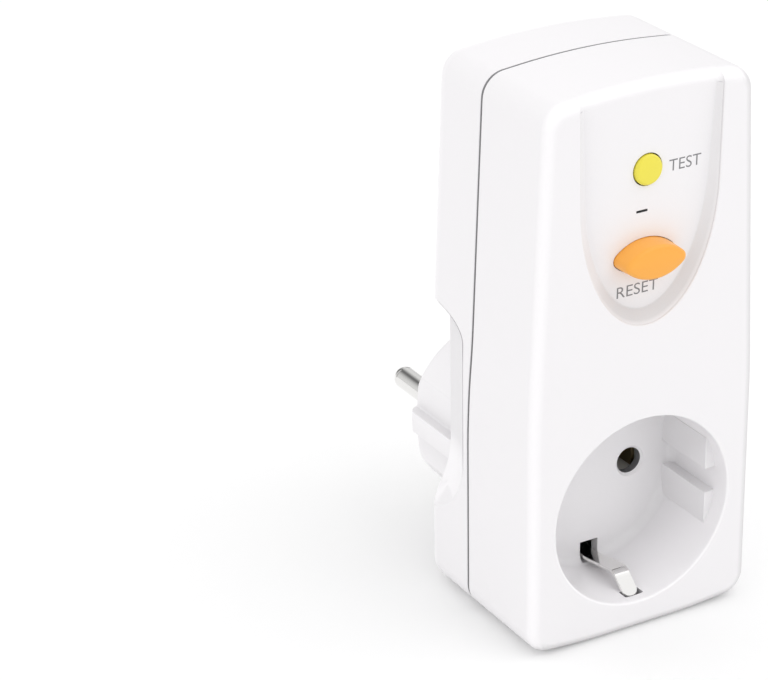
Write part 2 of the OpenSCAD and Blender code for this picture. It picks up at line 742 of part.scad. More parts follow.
module plug_earth_receptacle() color("silver") {
    half_w = receptacle_w / 2 - frame_wall - drop_gap;
    half_h = receptacle_h / 2 - frame_wall - drop_gap;
    middle = socket_z + receptacle_rise;
    block(0, 2 * half_w, bridge_y, bridge_y + clip_t, middle - half_h, middle + half_h);
    for (s = side_names) block(s * (half_w - clip_t / 2), clip_t, bridge_y, plug_face - leaf_setback,
        middle - half_h, middle + half_h);
}

module earth_link() color("silver") rod(0, socket_z, bracket_y + clip_t / 2, strap_y - strap_t / 2, link_r);

module socket_earth_bracket() color("silver")
    mitred_strip_yz(clip_w, concat(backward(earth_clip_points(-1)), earth_clip_points(1)), clip_t);

module contact_holder() color([0.92, 0.92, 0.9]) difference() {
    block(0, 2 * holder_x, floor_back, holder_back, socket_z - holder_h / 2, socket_z + holder_h / 2);
    for (s = side_names) block(s * pin_pitch / 2, leaf_pocket_w, floor_back - over, holder_back + over,
        socket_z - leaf_h / 2 - drop_gap, socket_z + leaf_h / 2 + drop_gap);
    block(0, clip_w + 2 * drop_gap, floor_back - over, bracket_y + clip_t / 2 + slip,
        socket_z - holder_h, socket_z + holder_h);
    rod(0, socket_z, floor_back - over, holder_back + over, link_r + slip);
}

// Spring leaves for one socket pin, with the strip that leads up to a fixed contact
module output_contact(s) color([0.78, 0.62, 0.3]) {
    for (side = side_names) block(s * pin_pitch / 2 + side * (pin_r + strip_t / 2), strip_t,
        leaf_start, leaf_base + strip_t, socket_z - leaf_h / 2, socket_z + leaf_h / 2);
    inner = pin_pitch / 2 - pin_r - strip_t;
    outer = max(pole_x + strip_w / 2, pin_pitch / 2 + pin_r + strip_t);
    block(s * (inner + outer) / 2, outer - inner, leaf_base, leaf_base + strip_t,
        socket_z - leaf_h / 2, socket_z + leaf_h / 2);
    strip_yz(s * pole_x, strip_w, [[leaf_base + strip_t / 2, socket_z - leaf_h / 2],
        [leaf_base + strip_t / 2, strip_bend_z0], [chassis_back + strip_t / 2, chassis_z0 + strip_seat],
        [chassis_back + strip_t / 2, reset_z - tip_dz + tip_r + strip_end]], strip_t);
}

module line_output_contact() output_contact(1);

module neutral_output_contact() output_contact(-1);

module input_contact(s) color([0.78, 0.62, 0.3])
    block(s * pole_x, strip_w, chassis_back, chassis_back + strip_t, reset_z + tip_dz - tip_r - strip_end,
        wire_end_z + wire_r + wire_gap);

module line_input_contact() input_contact(1);

module neutral_input_contact() input_contact(-1);

module fixed_contact_tips() color("silver") for (s = side_names) for (z = side_names)
    rod(s * pole_x, reset_z + z * tip_dz, chassis_back + strip_t, chassis_back + strip_t + tip_h, tip_r);

// Supply wire from a plug pin, through the current transformer, to a fixed contact
module supply_wire(s) wire([[s * pin_pitch / 2, bridge_y - pin_tail, socket_z],
    [s * pin_pitch / 2, wire_low_y, socket_z], [s * pin_pitch / 2, wire_low_y, socket_z + plug_bore_r],
    [s * wire_pair_x, ct_y, ct_z0 - shelf_t - wire_lead], [s * wire_pair_x, ct_y, wire_cross_z],
    [s * wire_x, wire_cross_y, wire_cross_z], [s * wire_x, wire_cross_y, wire_end_z],
    [s * (pole_x + strip_w / 2), chassis_back + strip_t + wire_r + push_gap, wire_end_z],
    [s * pole_x, chassis_back + strip_t + wire_r + push_gap, wire_end_z]], wire_r, [0, 0, 1]);

module line_wire() color("sienna") supply_wire(1);

module neutral_wire() color("royalblue") supply_wire(-1);

module ring(r_out, r_in, z0, z1) translate([0, ct_y, z0]) difference() {
    cylinder(h = z1 - z0, r = r_out);
    translate([0, 0, -over]) cylinder(h = z1 - z0 + 2 * over, r = r_in);
}

module current_transformer() color([0.15, 0.15, 0.16]) difference() {
    ring(ct_r, ct_hole_r, ct_z0, ct_z1);
    ring(ct_r - ct_case_t, ct_hole_r + ct_case_t, ct_z0 + ct_case_t, ct_z1 - ct_case_t);
}

module transformer_core() color("dimgray")
    ring(ct_r - ct_case_t - slip, ct_hole_r + ct_case_t + slip,
        ct_z0 + ct_case_t + slip, ct_z1 - ct_case_t - slip);

// Plate that carries the fixed contacts, guides the stems and stops the carriage
module mechanism_chassis() color([0.85, 0.85, 0.83]) difference() {
    union() {
        block(0, 2 * chassis_x, chassis_front, chassis_back, chassis_z0, chassis_z1);
        for (s = side_names) {
            rod(s * guide_x, reset_z, chassis_back - over, carriage_back + stake_end, guide_r);
            for (z = side_names) translate([0, 0, reset_z]) mirror([0, 0, z < 0 ? 1 : 0])
                translate([s * (hook_x + hook_w / 2), 0, 0]) {
                    block(0, hook_w, chassis_back - over, carriage_back + slip + hook_t,
                        carriage_h / 2 + slip, carriage_h / 2 + slip + hook_t);
                    block(0, hook_w, carriage_back + slip, carriage_back + slip + hook_t,
                        carriage_h / 2 - hook_t, carriage_h / 2 + slip + hook_t);
                }
        }
    }
    rod(0, reset_z, chassis_front - over, chassis_back + over, stem_r + slip);
    rod(0, test_z, chassis_front - over, chassis_back + over, test_stem_r + slip);
    block(-window_left, flag_w + 2 * drop_gap, chassis_front - over, chassis_back + over,
        window_z - flag_h / 2 - drop_gap, window_z + flag_h / 2 + drop_gap);
    for (p = post_places) rod(p[0], p[1], chassis_front - over, chassis_back + over, stake_r + push_gap);
}

module reset_button() color("orange") difference() {
    translate([0, 0, reset_z]) {
        slab(-reset_proud, flange_back) lens();
        slab(flange_front, flange_back) lens(flange_lip);
    }
    rod(0, reset_z, 0, flange_back + over, stem_r + push_gap);
}

module reset_stem() color("silver") rod(0, reset_z, 0, stem_end, stem_r);

module reset_spring() color("silver") spring_y(0, reset_z, flange_back, chassis_front, reset_spring_r,
    reset_spring_turns);

module test_button() color("yellow") {
    rod(0, test_z, test_face, flange_back, test_r);
    rod(0, test_z, flange_front, flange_back, test_r + flange_lip);
    rod(0, test_z, flange_front, test_tip, test_stem_r);
}

module test_spring() color("silver") spring_y(0, test_z, flange_back, chassis_front, test_spring_r,
    test_spring_turns);

// Leaf contact behind the test button's stem
module test_leaf() color([0.78, 0.62, 0.3]) translate([0, 0, test_z - test_stem_r])
    linear_extrude(2 * test_stem_r)
    bent_strip([[yoke_x + leaf_spring_foot, chassis_back + leaf_spring_t / 2],
        [yoke_x, chassis_back + leaf_spring_t / 2], [yoke_x - leaf_spring_rise, leaf_spring_y],
        [-test_stem_r - leaf_spring_past, leaf_spring_y]], leaf_spring_t);

// Sliding bar that carries the moving contacts
module contact_carriage() color([0.2, 0.2, 0.22]) difference() {
    low = reset_z - carriage_h / 2;
    high = reset_z + carriage_h / 2;
    union() {
        block(0, 2 * carriage_x, carriage_front, carriage_back, low, high);
        for (s = side_names)
            block(s * (latch_w / 2 + slip + strip_t / 2), strip_t,
                carriage_back - over, latch_back, low, high);
    }
    rod(0, reset_z, carriage_front - over, carriage_back + over, stem_r + drop_gap);
    for (s = side_names)
        rod(s * guide_x, reset_z, carriage_front - over, carriage_back + over, guide_r + slip / 2);
}

module contact_bridge(s) color([0.78, 0.62, 0.3]) {
    reach = tip_dz + tip_r;
    block(s * pole_x, strip_w, bridge_front, carriage_front, reset_z - reach, reset_z + reach);
    for (z = side_names)
        rod(s * pole_x, reset_z + z * tip_dz, bridge_front - tip_h, bridge_front + strip_t / 2, tip_r);
}

module line_contact_bridge() contact_bridge(1);

module neutral_contact_bridge() contact_bridge(-1);

module trip_spring() color("silver") spring_y(0, reset_z, chassis_back, carriage_front, trip_spring_r,
    trip_spring_turns);

// Arm on the carriage whose tip shows behind the window
module indicator_flag() color("red") {
    block(-window_left, flag_w, flag_front, carriage_front, window_z - flag_h / 2, window_z + flag_h / 2);
    block(-window_left, flag_w, carriage_front, carriage_front + flag_base,
        reset_z + carriage_h / 2, window_z + flag_h / 2);
}

// Sliding plate whose keyhole grips the reset stem
module latch_plate() color("silver") difference() {
    block(0, latch_w, latch_front, latch_back, reset_z - carriage_h / 2, reset_z + latch_rise);
    rod(0, reset_z, latch_front - over, latch_back + over, stem_r + drop_gap);
    block(0, 2 * (stem_r + drop_gap), latch_front - over, latch_back + over,
        reset_z, reset_z + latch_travel);
    rod(0, reset_z + latch_travel, latch_front - over, latch_back + over, stem_r + drop_gap);
}

module coil_frame() color("gray") difference() {
    block(0, 2 * yoke_x, coil_y - cheek_r, board_front, coil_z0, coil_z1);
    block(0, 2 * (yoke_x - yoke_t), coil_y - cheek_r - over, board_front + over,
        coil_z0 + yoke_t, coil_z1 - yoke_t);
    translate([0, coil_y, coil_z0 - over]) cylinder(h = coil_z1 - coil_z0 + 2 * over, r = plunger_r + slip);
}

// A tube about the trip coil's axis
module coil_tube(r_out, r_in, z0, z1) translate([0, coil_y, z0]) difference() {
    cylinder(h = z1 - z0, r = r_out);
    translate([0, 0, -over]) cylinder(h = z1 - z0 + 2 * over, r = r_in);
}

module coil_bobbin() color([0.9, 0.88, 0.8]) {
    low = coil_z0 + yoke_t;
    high = coil_z1 - yoke_t;
    coil_tube(bobbin_bore_r + bobbin_t, bobbin_bore_r, low, high);
    coil_tube(cheek_r, bobbin_bore_r, low, low + bobbin_t);
    coil_tube(cheek_r, bobbin_bore_r, high - bobbin_t, high);
}

module coil_winding() color("chocolate") coil_tube(winding_r, bobbin_bore_r + bobbin_t + push_gap,
    coil_z0 + yoke_t + bobbin_t, coil_z1 - yoke_t - bobbin_t);

module coil_plunger() color("silver") translate([0, coil_y, 0]) {
    head_z = coil_z1 + plunger_spring_len;
    translate([0, 0, plunger_tip_z]) cylinder(h = head_z + plunger_head_t - plunger_tip_z, r = plunger_r);
    translate([0, 0, head_z]) cylinder(h = plunger_head_t, r = plunger_head_r);
}

module plunger_spring() color("silver") translate([0, coil_y, coil_z1])
    coil_spring(plunger_r + slip + spring_wire_r + slip, plunger_spring_len,
        plunger_spring_turns);

module circuit_board() color("darkgreen") difference() {
    union() {
        block(0, 2 * board_x, board_front, board_back, board_z0, board_z1);
        block(0, 2 * board_tongue_x, board_front, board_back, board_z0, board_tongue_z);
    }
    for (p = board_pin_places) rod(p[0], p[1], board_front - over, board_back + over, stake_r + push_gap);
}

module control_chip() color([0.1, 0.1, 0.1]) {
    size = 5;
    height = 1.5;
    rise = 3;
    low = board_z0 + rise;
    leg_w = 0.5;
    leg_len = 1;
    leg_h = 0.6;
    leg_pitch = size / 4;
    block(0, size, board_front - height, board_front, low, low + size);
    for (s = side_names) for (i = [0 : 3]) {
        leg_z = low + leg_pitch * (i + 0.5);
        block(s * (size + leg_len) / 2, leg_len, board_front - leg_h, board_front,
            leg_z - leg_w / 2, leg_z + leg_w / 2);
    }
}

module thyristor() color([0.12, 0.12, 0.12]) {
    height = 5;
    r = 2.4;
    flat = 1.4;
    rise = 2;
    middle = coil_z0 + rise;
    difference() {
        rod(part_x, middle, board_front - height, board_front, r);
        block(part_x, 3 * r, board_front - height - over, board_front + over,
            middle + flat, middle + 2 * r);
    }
}

module varistor() color("royalblue") {
    thickness = 4;
    r = 4;
    rod(-part_x, coil_z0 + r, board_front - thickness, board_front, r);
}

// A small part with a round body and two legs, lying along Z on the board
module axial_part(x, z, length, r) {
    lift = board_front - r - part_lift;
    leg = length / 2 + part_leg_reach;
    translate([x, lift, z - length / 2]) cylinder(h = length, r = r);
    for (s = side_names) wire([[x, lift, z + s * (length / 2 - part_leg_r)], [x, lift, z + s * leg],
        [x, board_front, z + s * leg]], part_leg_r, [1, 0, 0], 6);
}

module rectifier_diodes() color([0.1, 0.1, 0.1]) {
    first_x = 8;
    pitch = 4;
    rise = 16;
    length = 3.6;
    r = 1;
    for (s = side_names) for (i = [0 : 1])
        axial_part(s * (first_x + pitch * i), board_z0 + rise, length, r);
}

module resistors() color("tan") {
    first_x = 7;
    pitch = 3.4;
    rise = 9;
    length = 4.2;
    r = 1;
    for (i = [0 : 2]) axial_part(first_x + pitch * i, board_z0 + rise, length, r);
}

module capacitors() color("sandybrown") {
    first_x = 9;
    pitch = 5;
    r = 2;
    height = 3;
    for (i = [0 : 1]) rod(-first_x - pitch * i, board_z0 + 4 * r, board_front - height, board_front, r);
}

module placed() translate([0, -y_middle, 0]) children();

placed() front_cover();
placed() rear_cover();
placed() cover_screws();
placed() plug_body();
placed() pin_bridge();
placed() line_pin();
placed() neutral_pin();
placed() plug_earth_strap();
placed() plug_earth_receptacle();
placed() earth_link();
placed() socket_earth_bracket();
placed() contact_holder();
placed() line_output_contact();
placed() neutral_output_contact();
placed() line_input_contact();
placed() neutral_input_contact();
placed() fixed_contact_tips();
placed() line_wire();
placed() neutral_wire();
placed() current_transformer();
placed() transformer_core();
placed() mechanism_chassis();
placed() reset_button();
placed() reset_stem();
placed() reset_spring();
placed() test_button();
placed() test_spring();
placed() test_leaf();
placed() contact_carriage();
placed() line_contact_bridge();
placed() neutral_contact_bridge();
placed() trip_spring();
placed() indicator_flag();
placed() latch_plate();
placed() coil_frame();
placed() coil_bobbin();
placed() coil_winding();
placed() coil_plunger();
placed() plunger_spring();
placed() circuit_board();
placed() control_chip();
placed() thyristor();
placed() varistor();
placed() rectifier_diodes();
placed() resistors();
placed() capacitors();
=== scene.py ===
import json
import math

import bmesh
import bpy
from mathutils import Matrix, Vector


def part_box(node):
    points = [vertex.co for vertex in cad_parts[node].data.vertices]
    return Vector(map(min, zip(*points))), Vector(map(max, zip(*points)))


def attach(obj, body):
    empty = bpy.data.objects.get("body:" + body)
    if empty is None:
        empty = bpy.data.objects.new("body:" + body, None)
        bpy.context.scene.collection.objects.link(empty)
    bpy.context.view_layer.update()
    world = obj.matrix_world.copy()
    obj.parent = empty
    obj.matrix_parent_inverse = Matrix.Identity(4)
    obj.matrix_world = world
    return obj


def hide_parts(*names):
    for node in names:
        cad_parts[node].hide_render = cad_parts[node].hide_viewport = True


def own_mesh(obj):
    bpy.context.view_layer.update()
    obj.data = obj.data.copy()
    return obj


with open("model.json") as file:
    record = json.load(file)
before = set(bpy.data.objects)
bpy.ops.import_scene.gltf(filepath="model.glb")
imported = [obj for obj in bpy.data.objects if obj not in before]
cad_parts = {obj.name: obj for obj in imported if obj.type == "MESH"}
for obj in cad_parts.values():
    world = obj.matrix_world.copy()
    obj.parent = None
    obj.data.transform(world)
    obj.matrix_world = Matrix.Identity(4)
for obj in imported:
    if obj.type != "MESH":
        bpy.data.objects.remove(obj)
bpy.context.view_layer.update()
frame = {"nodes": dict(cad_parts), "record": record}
print("frame loaded with", len(frame["nodes"]), "nodes")

# shapes are drawn in millimetres: x to the right, y back from the front face, z up from the foot
perMetre = 1000.0
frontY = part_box("front_cover")[0].y


def depthOf(node, end):
    return (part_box(node)[end].y - frontY) * perMetre


def heightOf(node, end):
    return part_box(node)[end].z * perMetre


def middleOf(node):
    low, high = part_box(node)
    return (low + high) / 2 * perMetre


flagHalf = 1.1
datum = dict(
    seam=depthOf("front_cover", 1),
    back=depthOf("rear_cover", 1),
    plugFace=depthOf("plug_body", 1),
    pinTip=depthOf("line_pin", 1),
    bridge=depthOf("pin_bridge", 0),
    crown=heightOf("front_cover", 1),
    axisZ=middleOf("line_pin").z,
    pinX=middleOf("line_pin").x,
    resetZ=middleOf("reset_button").z,
    testZ=middleOf("test_button").z,
    flagX=middleOf("indicator_flag").x,
    windowZ=heightOf("indicator_flag", 1) - flagHalf,
    chassisLow=heightOf("mechanism_chassis", 0),
    chassisHigh=heightOf("mechanism_chassis", 1),
    boardLow=heightOf("circuit_board", 0),
    ringLow=heightOf("current_transformer", 0),
    wall=2.2,
    slip=0.2,
)


# mesh making

clear = 2.0  # how far a cutter starts outside what it cuts
near = 0.05  # room for error when faces and points are picked by place


def addObject(name, data):
    obj = bpy.data.objects.new(name, data)
    bpy.context.scene.collection.objects.link(obj)
    return obj


def meshObject(name, points, faces):
    mesh = bpy.data.meshes.new(name)
    mesh.from_pydata([tuple(p) for p in points], [], faces)
    bm = bmesh.new()
    bm.from_mesh(mesh)
    bmesh.ops.recalc_face_normals(bm, faces=bm.faces)
    bm.to_mesh(mesh)
    bm.free()
    return addObject(name, mesh)


def loft(name, rings, closed=False):
    count = len(rings[0])
    points = [p for ring in rings for p in ring]
    faces = []
    last = len(rings) if closed else len(rings) - 1
    for i in range(last):
        a = i * count
        b = (i + 1) % len(rings) * count
        for k in range(count):
            n = (k + 1) % count
            faces.append((a + k, a + n, b + n, b + k))
    if not closed:
        faces.append(tuple(range(count)))
        faces.append(tuple(range(len(points) - count, len(points))))
    return meshObject(name, points, faces)


def turned(name, profile, x, z, segments=64, closed=False):
    rings = []
    for r, y in profile:
        ring = []
        for k in range(segments):
            turn = 2 * math.pi * k / segments
            ring.append((x + r * math.cos(turn), y, z + r * math.sin(turn)))
        rings.append(ring)
    return loft(name, rings, closed)


def rod(name, r, start, end, x, z, segments):
    return turned(name, [(r, start), (r, end)], x, z, segments)


def prism(name, loop, start, end):
    return loft(name, [[(x, y, z) for x, z in loop] for y in (start, end)])


def span(middle, side, first, second):
    return sorted((middle + side * first, middle + side * second))


def softBlock(name, xs, ys, zs, edge=0.0):
    bm = bmesh.new()
    bmesh.ops.create_cube(bm, size=1.0)
    for v in bm.verts:
        for i, (low, high) in enumerate((xs, ys, zs)):
            v.co[i] = low if v.co[i] < 0 else high
    if edge > 0:
        bmesh.ops.bevel(bm, geom=bm.edges[:], offset=edge, segments=3, profile=0.5, affect="EDGES")
    mesh = bpy.data.meshes.new(name)
    bm.to_mesh(mesh)
    bm.free()
    return addObject(name, mesh)


def settle(obj):
    deps = bpy.context.evaluated_depsgraph_get()
    mesh = bpy.data.meshes.new_from_object(obj.evaluated_get(deps))
    old = obj.data
    obj.modifiers.clear()
    obj.data = mesh
    bpy.data.meshes.remove(old)


def carve(target, tool, how="DIFFERENCE"):
    step = target.modifiers.new("carve", "BOOLEAN")
    step.operation = how
    step.solver = "MANIFOLD"
    step.object = tool
    settle(target)
    bpy.data.objects.remove(tool)


def quarter(steps):
    return [math.pi / 2 * k / steps for k in range(steps + 1)]


def smoothStep(low, high, value):
    t = min(max((value - low) / (high - low), 0.0), 1.0)
    return t * t * (3 - 2 * t)


def joined(parts):
    for part in parts[1:]:
        carve(parts[0], part, "UNION")
    return parts[0]


def dress(mesh, material, smooth):
    mesh.materials.clear()
    mesh.materials.append(material)
    for face in mesh.polygons:
        face.use_smooth = True
    mesh.set_sharp_from_angle(angle=math.radians(smooth))


def place(obj, body, slot, node=None, smooth=35.0, material=None, weighted=True):
    obj.data.transform(Matrix.Translation((0, frontY, 0)) @ Matrix.Scale(1 / perMetre, 4))
    dress(obj.data, material or finishes[slot], smooth)
    if weighted:
        even = obj.modifiers.new("evenNormals", "WEIGHTED_NORMAL")
        even.keep_sharp = True
    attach(obj, body)
    if node:
        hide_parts(node)
    return obj


# outline with rounded corners: (x, z, normal x, normal z) all the way round

outline = dict(chord=0.8, leastR=2.0, fewest=3, most=18, lastStep=0.2)


def filletLoop(corners, stepAt):
    o = outline
    count = len(corners)
    arcs = []
    for i in range(count):
        px, pz, r = corners[i]
        ax, az = corners[i - 1][:2]
        bx, bz = corners[(i + 1) % count][:2]
        come = math.atan2(pz - az, px - ax)
        go = math.atan2(bz - pz, bx - px)
        turn = (go - come + math.pi) % (2 * math.pi) - math.pi
        reach = r * math.tan(abs(turn) / 2)
        sx, sz = px - reach * math.cos(come), pz - reach * math.sin(come)
        nx, nz = math.sin(come), -math.cos(come)
        cx, cz = sx - nx * r, sz - nz * r
        pieces = max(o["fewest"], math.ceil(abs(turn) * max(r, o["leastR"]) / o["chord"]))
        pieces = min(pieces, o["most"])
        arc = []
        for k in range(pieces + 1):
            facing = come - math.pi / 2 + turn * k / pieces
            nx, nz = math.cos(facing), math.sin(facing)
            arc.append((cx + r * nx, cz + r * nz, nx, nz))
        arcs.append(arc)
    loop = []
    for i in range(count):
        loop += arcs[i]
        x0, z0, nx, nz = arcs[i][-1]
        x1, z1 = arcs[(i + 1) % count][0][:2]
        length = math.hypot(x1 - x0, z1 - z0)
        x, z, run = x0, z0, 0.0
        while True:
            run += stepAt(x, z)
            if run > length - o["lastStep"]:
                break
            x = x0 + (x1 - x0) * run / length
            z = z0 + (z1 - z0) * run / length
            loop.append((x, z, nx, nz))
    return loop


shell = dict(
    footHalf=12.0, footBlend=120.0,
    baseHalf=25.25, baseRise=1.0, cornerR=5.0,
    shoulderHalf=25.25, shoulderZ=50.0, shoulderBlend=200.0,
    topHalf=22.5, topZ=111.98, archTurn=5.5, archR=154.0,
    frontEdge=2.2, topEdge=3.0, backEdge=3.0, frontStep=3.0, lightGain=2.5,
    groove=0.65, grooveIn=1.3, lip=0.12, seamLean=1.15, leanFrom=36.0, leanTo=62.0,
)


def shellCorners():
    s = shell
    apex = s["topZ"] + s["topHalf"] * math.tan(math.radians(s["archTurn"]))
    right = [
        (s["footHalf"], 0.0, s["footBlend"]),
        (s["baseHalf"], s["baseRise"], s["cornerR"]),
        (s["shoulderHalf"], s["shoulderZ"], s["shoulderBlend"]),
        (s["topHalf"], s["topZ"], s["cornerR"]),
    ]
    left = [(-x, z, r) for x, z, r in reversed(right)]
    return right + [(0.0, apex, s["archR"])] + left


# levels are (inset, y), one for each point of the outline

def insetRing(loop, levels):
    return [(x - inset * nx, y, z - inset * nz) for (x, z, nx, nz), (inset, y) in zip(loop, levels)]


def insetOf(x, z, loop):
    best = 99.0
    facing = (0.0, 0.0)
    for (ax, az, nx, nz), (bx, bz, _, _) in zip(loop, loop[1:] + loop[:1]):
        dx, dz = bx - ax, bz - az
        t = ((x - ax) * dx + (z - az) * dz) / max(dx * dx + dz * dz, 1e-9)
        t = min(max(t, 0.0), 1.0)
        away = math.hypot(x - ax - dx * t, z - az - dz * t)
        if away < best:
            best = away
            facing = (nx, nz)
    return best, facing


# rounded edges: painted highlight where they face left or up, painted shade on the other sides

def paintEdgeLight(obj, loop, depthAt, edge, other):
    values = []
    for v in obj.data.vertices:
        depth = depthAt(v.co.y)
        value = other(*v.co)
        if -0.01 < depth < edge:
            inset, facing = insetOf(v.co.x, v.co.z, loop)
            if inset < edge:
                band = math.sin(2 * math.atan2(edge - inset, edge - depth))
                value = band * min(max((facing[1] - facing[0]) * shell["lightGain"], -1.0), 1.0)
        values.append(value)
    paintedLight = obj.data.attributes.new("paintedLight", "FLOAT", "POINT")
    paintedLight.data.foreach_set("value", values)


def leanSeam(obj, low, high):
    s = shell  # the joint line leans to the front above the shoulder
    for v in obj.data.vertices:
        y = (v.co.y - frontY) * perMetre
        if low < y < high:
            v.co.y -= s["seamLean"] * smoothStep(s["leanFrom"], s["leanTo"], v.co.z * perMetre) / perMetre


def topHeight(x):
    r = shell["archR"]
    return datum["crown"] - r + math.sqrt(r ** 2 - x * x)


# shared surface effects

def socketKind(value):
    if isinstance(value, float):
        return "NodeSocketFloat"
    return "NodeSocketColor" if len(value) == 4 else "NodeSocketVector"


def newGroup(name, inputs, outputs):
    group = bpy.data.node_groups.new(name, "ShaderNodeTree")
    for label, value in inputs.items():
        socket = group.interface.new_socket(label, in_out="INPUT", socket_type=socketKind(value))
        socket.default_value = value
    for label in outputs:
        kind = "NodeSocketColor" if label == "Colour" else "NodeSocketFloat"
        group.interface.new_socket(label, in_out="OUTPUT", socket_type=kind)
    return group, group.nodes.new("NodeGroupInput"), group.nodes.new("NodeGroupOutput")


def mathNode(tree, operation, first, second):
    node = tree.nodes.new("ShaderNodeMath")
    node.operation = operation
    for i, value in enumerate((first, second)):
        if isinstance(value, (int, float)):
            node.inputs[i].default_value = value
        else:
            tree.links.new(value, node.inputs[i])
    return node.outputs[0]


def noiseNode(tree, vector, scale, detail):
    node = tree.nodes.new("ShaderNodeTexNoise")
    node.inputs["Detail"].default_value = detail
    tree.links.new(vector, node.inputs["Vector"])
    if isinstance(scale, (int, float)):
        node.inputs["Scale"].default_value = scale
    else:
        tree.links.new(scale, node.inputs["Scale"])
    return node.outputs["Fac"]


def mixColours(tree, share, first, second):
    mix = tree.nodes.new("ShaderNodeMix")
    mix.data_type = "RGBA"
    tree.links.new(share, mix.inputs["Factor"])
    tree.links.new(first, mix.inputs[6])
    tree.links.new(second, mix.inputs[7])
    return mix.outputs[2]


def unevenRoughness(tree, enter, first, second, share):
    mixed = mathNode(tree, "ADD", mathNode(tree, "MULTIPLY", first, share),
                     mathNode(tree, "MULTIPLY", second, 1 - share))
    centred = mathNode(tree, "SUBTRACT", mixed, 0.5)
    spread = mathNode(tree, "MULTIPLY", centred, enter.outputs["Spread"])
    return mathNode(tree, "ADD", spread, enter.outputs["Roughness"])


def makeMouldGrain():
    inputs = dict(Scale=2500.0, Roughness=0.4, Spread=0.1)
    group, enter, leave = newGroup("mouldGrain", inputs, ("Height", "Roughness"))
    spot = group.nodes.new("ShaderNodeTexCoord").outputs["Object"]
    fine = noiseNode(group, spot, enter.outputs["Scale"], 3.0)
    broad = noiseNode(group, spot, 60.0, 2.0)
    group.links.new(fine, leave.inputs["Height"])
    group.links.new(unevenRoughness(group, enter, fine, broad, 0.7), leave.inputs["Roughness"])
    return group


def makeDrawnLines():
    inputs = dict(Along=(1.0, 1.0, 1.0), Roughness=0.2, Spread=0.1)
    group, enter, leave = newGroup("drawnLines", inputs, ("Height", "Roughness"))
    spot = group.nodes.new("ShaderNodeTexCoord").outputs["Object"]
    stretch = group.nodes.new("ShaderNodeVectorMath")
    stretch.operation = "MULTIPLY"
    group.links.new(spot, stretch.inputs[0])
    group.links.new(enter.outputs["Along"], stretch.inputs[1])
    lines = noiseNode(group, stretch.outputs[0], 2000.0, 3.0)
    smudge = noiseNode(group, spot, 220.0, 2.0)
    group.links.new(lines, leave.inputs["Height"])
    group.links.new(unevenRoughness(group, enter, lines, smudge, 0.5), leave.inputs["Roughness"])
    return group


def makeColourDrift():
    inputs = dict(Colour=(0.8, 0.8, 0.8, 1.0), Other=(0.7, 0.7, 0.7, 1.0), Scale=40.0)
    group, enter, leave = newGroup("colourDrift", inputs, ("Colour",))
    spot = group.nodes.new("ShaderNodeTexCoord").outputs["Object"]
    cloud = noiseNode(group, spot, enter.outputs["Scale"], 3.0)
    drifted = mixColours(group, cloud, enter.outputs["Colour"], enter.outputs["Other"])
    group.links.new(drifted, leave.inputs["Colour"])
    return group


def makeCreviceShade():
    inputs = dict(Colour=(0.8, 0.8, 0.8, 1.0), Shade=(0.5, 0.5, 0.5, 1.0), Reach=0.008, Contrast=1.0)
    group, enter, leave = newGroup("creviceShade", inputs, ("Colour",))
    nook = group.nodes.new("ShaderNodeAmbientOcclusion")
    nook.samples = 8
    nook.only_local = True
    group.links.new(enter.outputs["Reach"], nook.inputs["Distance"])
    bare = mathNode(group, "POWER", nook.outputs["AO"], enter.outputs["Contrast"])
    shaded = mixColours(group, bare, enter.outputs["Shade"], enter.outputs["Colour"])
    group.links.new(shaded, leave.inputs["Colour"])
    return group


# painted highlight where the edge attribute is above zero, painted shade where it is below
def makeEdgeLightAndShade():
    inputs = dict(Colour=(0.8, 0.8, 0.8, 1.0), Rubbed=(0.9, 0.9, 0.9, 1.0), Shaded=(0.7, 0.7, 0.7, 1.0))
    group, enter, leave = newGroup("edgeLightAndShade", inputs, ("Colour",))
    paintedLight = group.nodes.new("ShaderNodeAttribute")
    paintedLight.attribute_name = "paintedLight"
    last = enter.outputs["Colour"]
    for label, sign in (("Rubbed", 1.0), ("Shaded", -1.0)):
        share = mathNode(group, "MAXIMUM", mathNode(group, "MULTIPLY", paintedLight.outputs["Fac"], sign), 0.0)
        last = mixColours(group, share, last, enter.outputs[label])
    group.links.new(last, leave.inputs["Colour"])
    return group


mouldGrain = makeMouldGrain()
colourDrift = makeColourDrift()
creviceShade = makeCreviceShade()
edgeLightAndShade = makeEdgeLightAndShade()
drawnLines = makeDrawnLines()
grainHeight = 0.00002
lineHeight = 0.00001


def startMaterial(name):
    material = bpy.data.materials.new(name)
    material.use_nodes = True
    tree = material.node_tree
    return material, tree, tree.nodes["Principled BSDF"]


def addGroup(tree, group, before=None, **values):
    node = tree.nodes.new("ShaderNodeGroup")
    node.node_tree = group
    for label, value in values.items():
        socket = node.inputs[label]
        socket.default_value = (*value, 1.0) if socket.type == "RGBA" else value
    if before:
        tree.links.new(before.outputs["Colour"], node.inputs["Colour"])
    return node


def addSkin(tree, shader, tint, skin, height, strength):
    tree.links.new(tint.outputs["Colour"], shader.inputs["Base Color"])
    tree.links.new(skin.outputs["Roughness"], shader.inputs["Roughness"])
    bump = tree.nodes.new("ShaderNodeBump")
    bump.inputs["Distance"].default_value = height
    bump.inputs["Strength"].default_value = strength
    tree.links.new(skin.outputs["Height"], bump.inputs["Height"])
    tree.links.new(bump.outputs["Normal"], shader.inputs["Normal"])


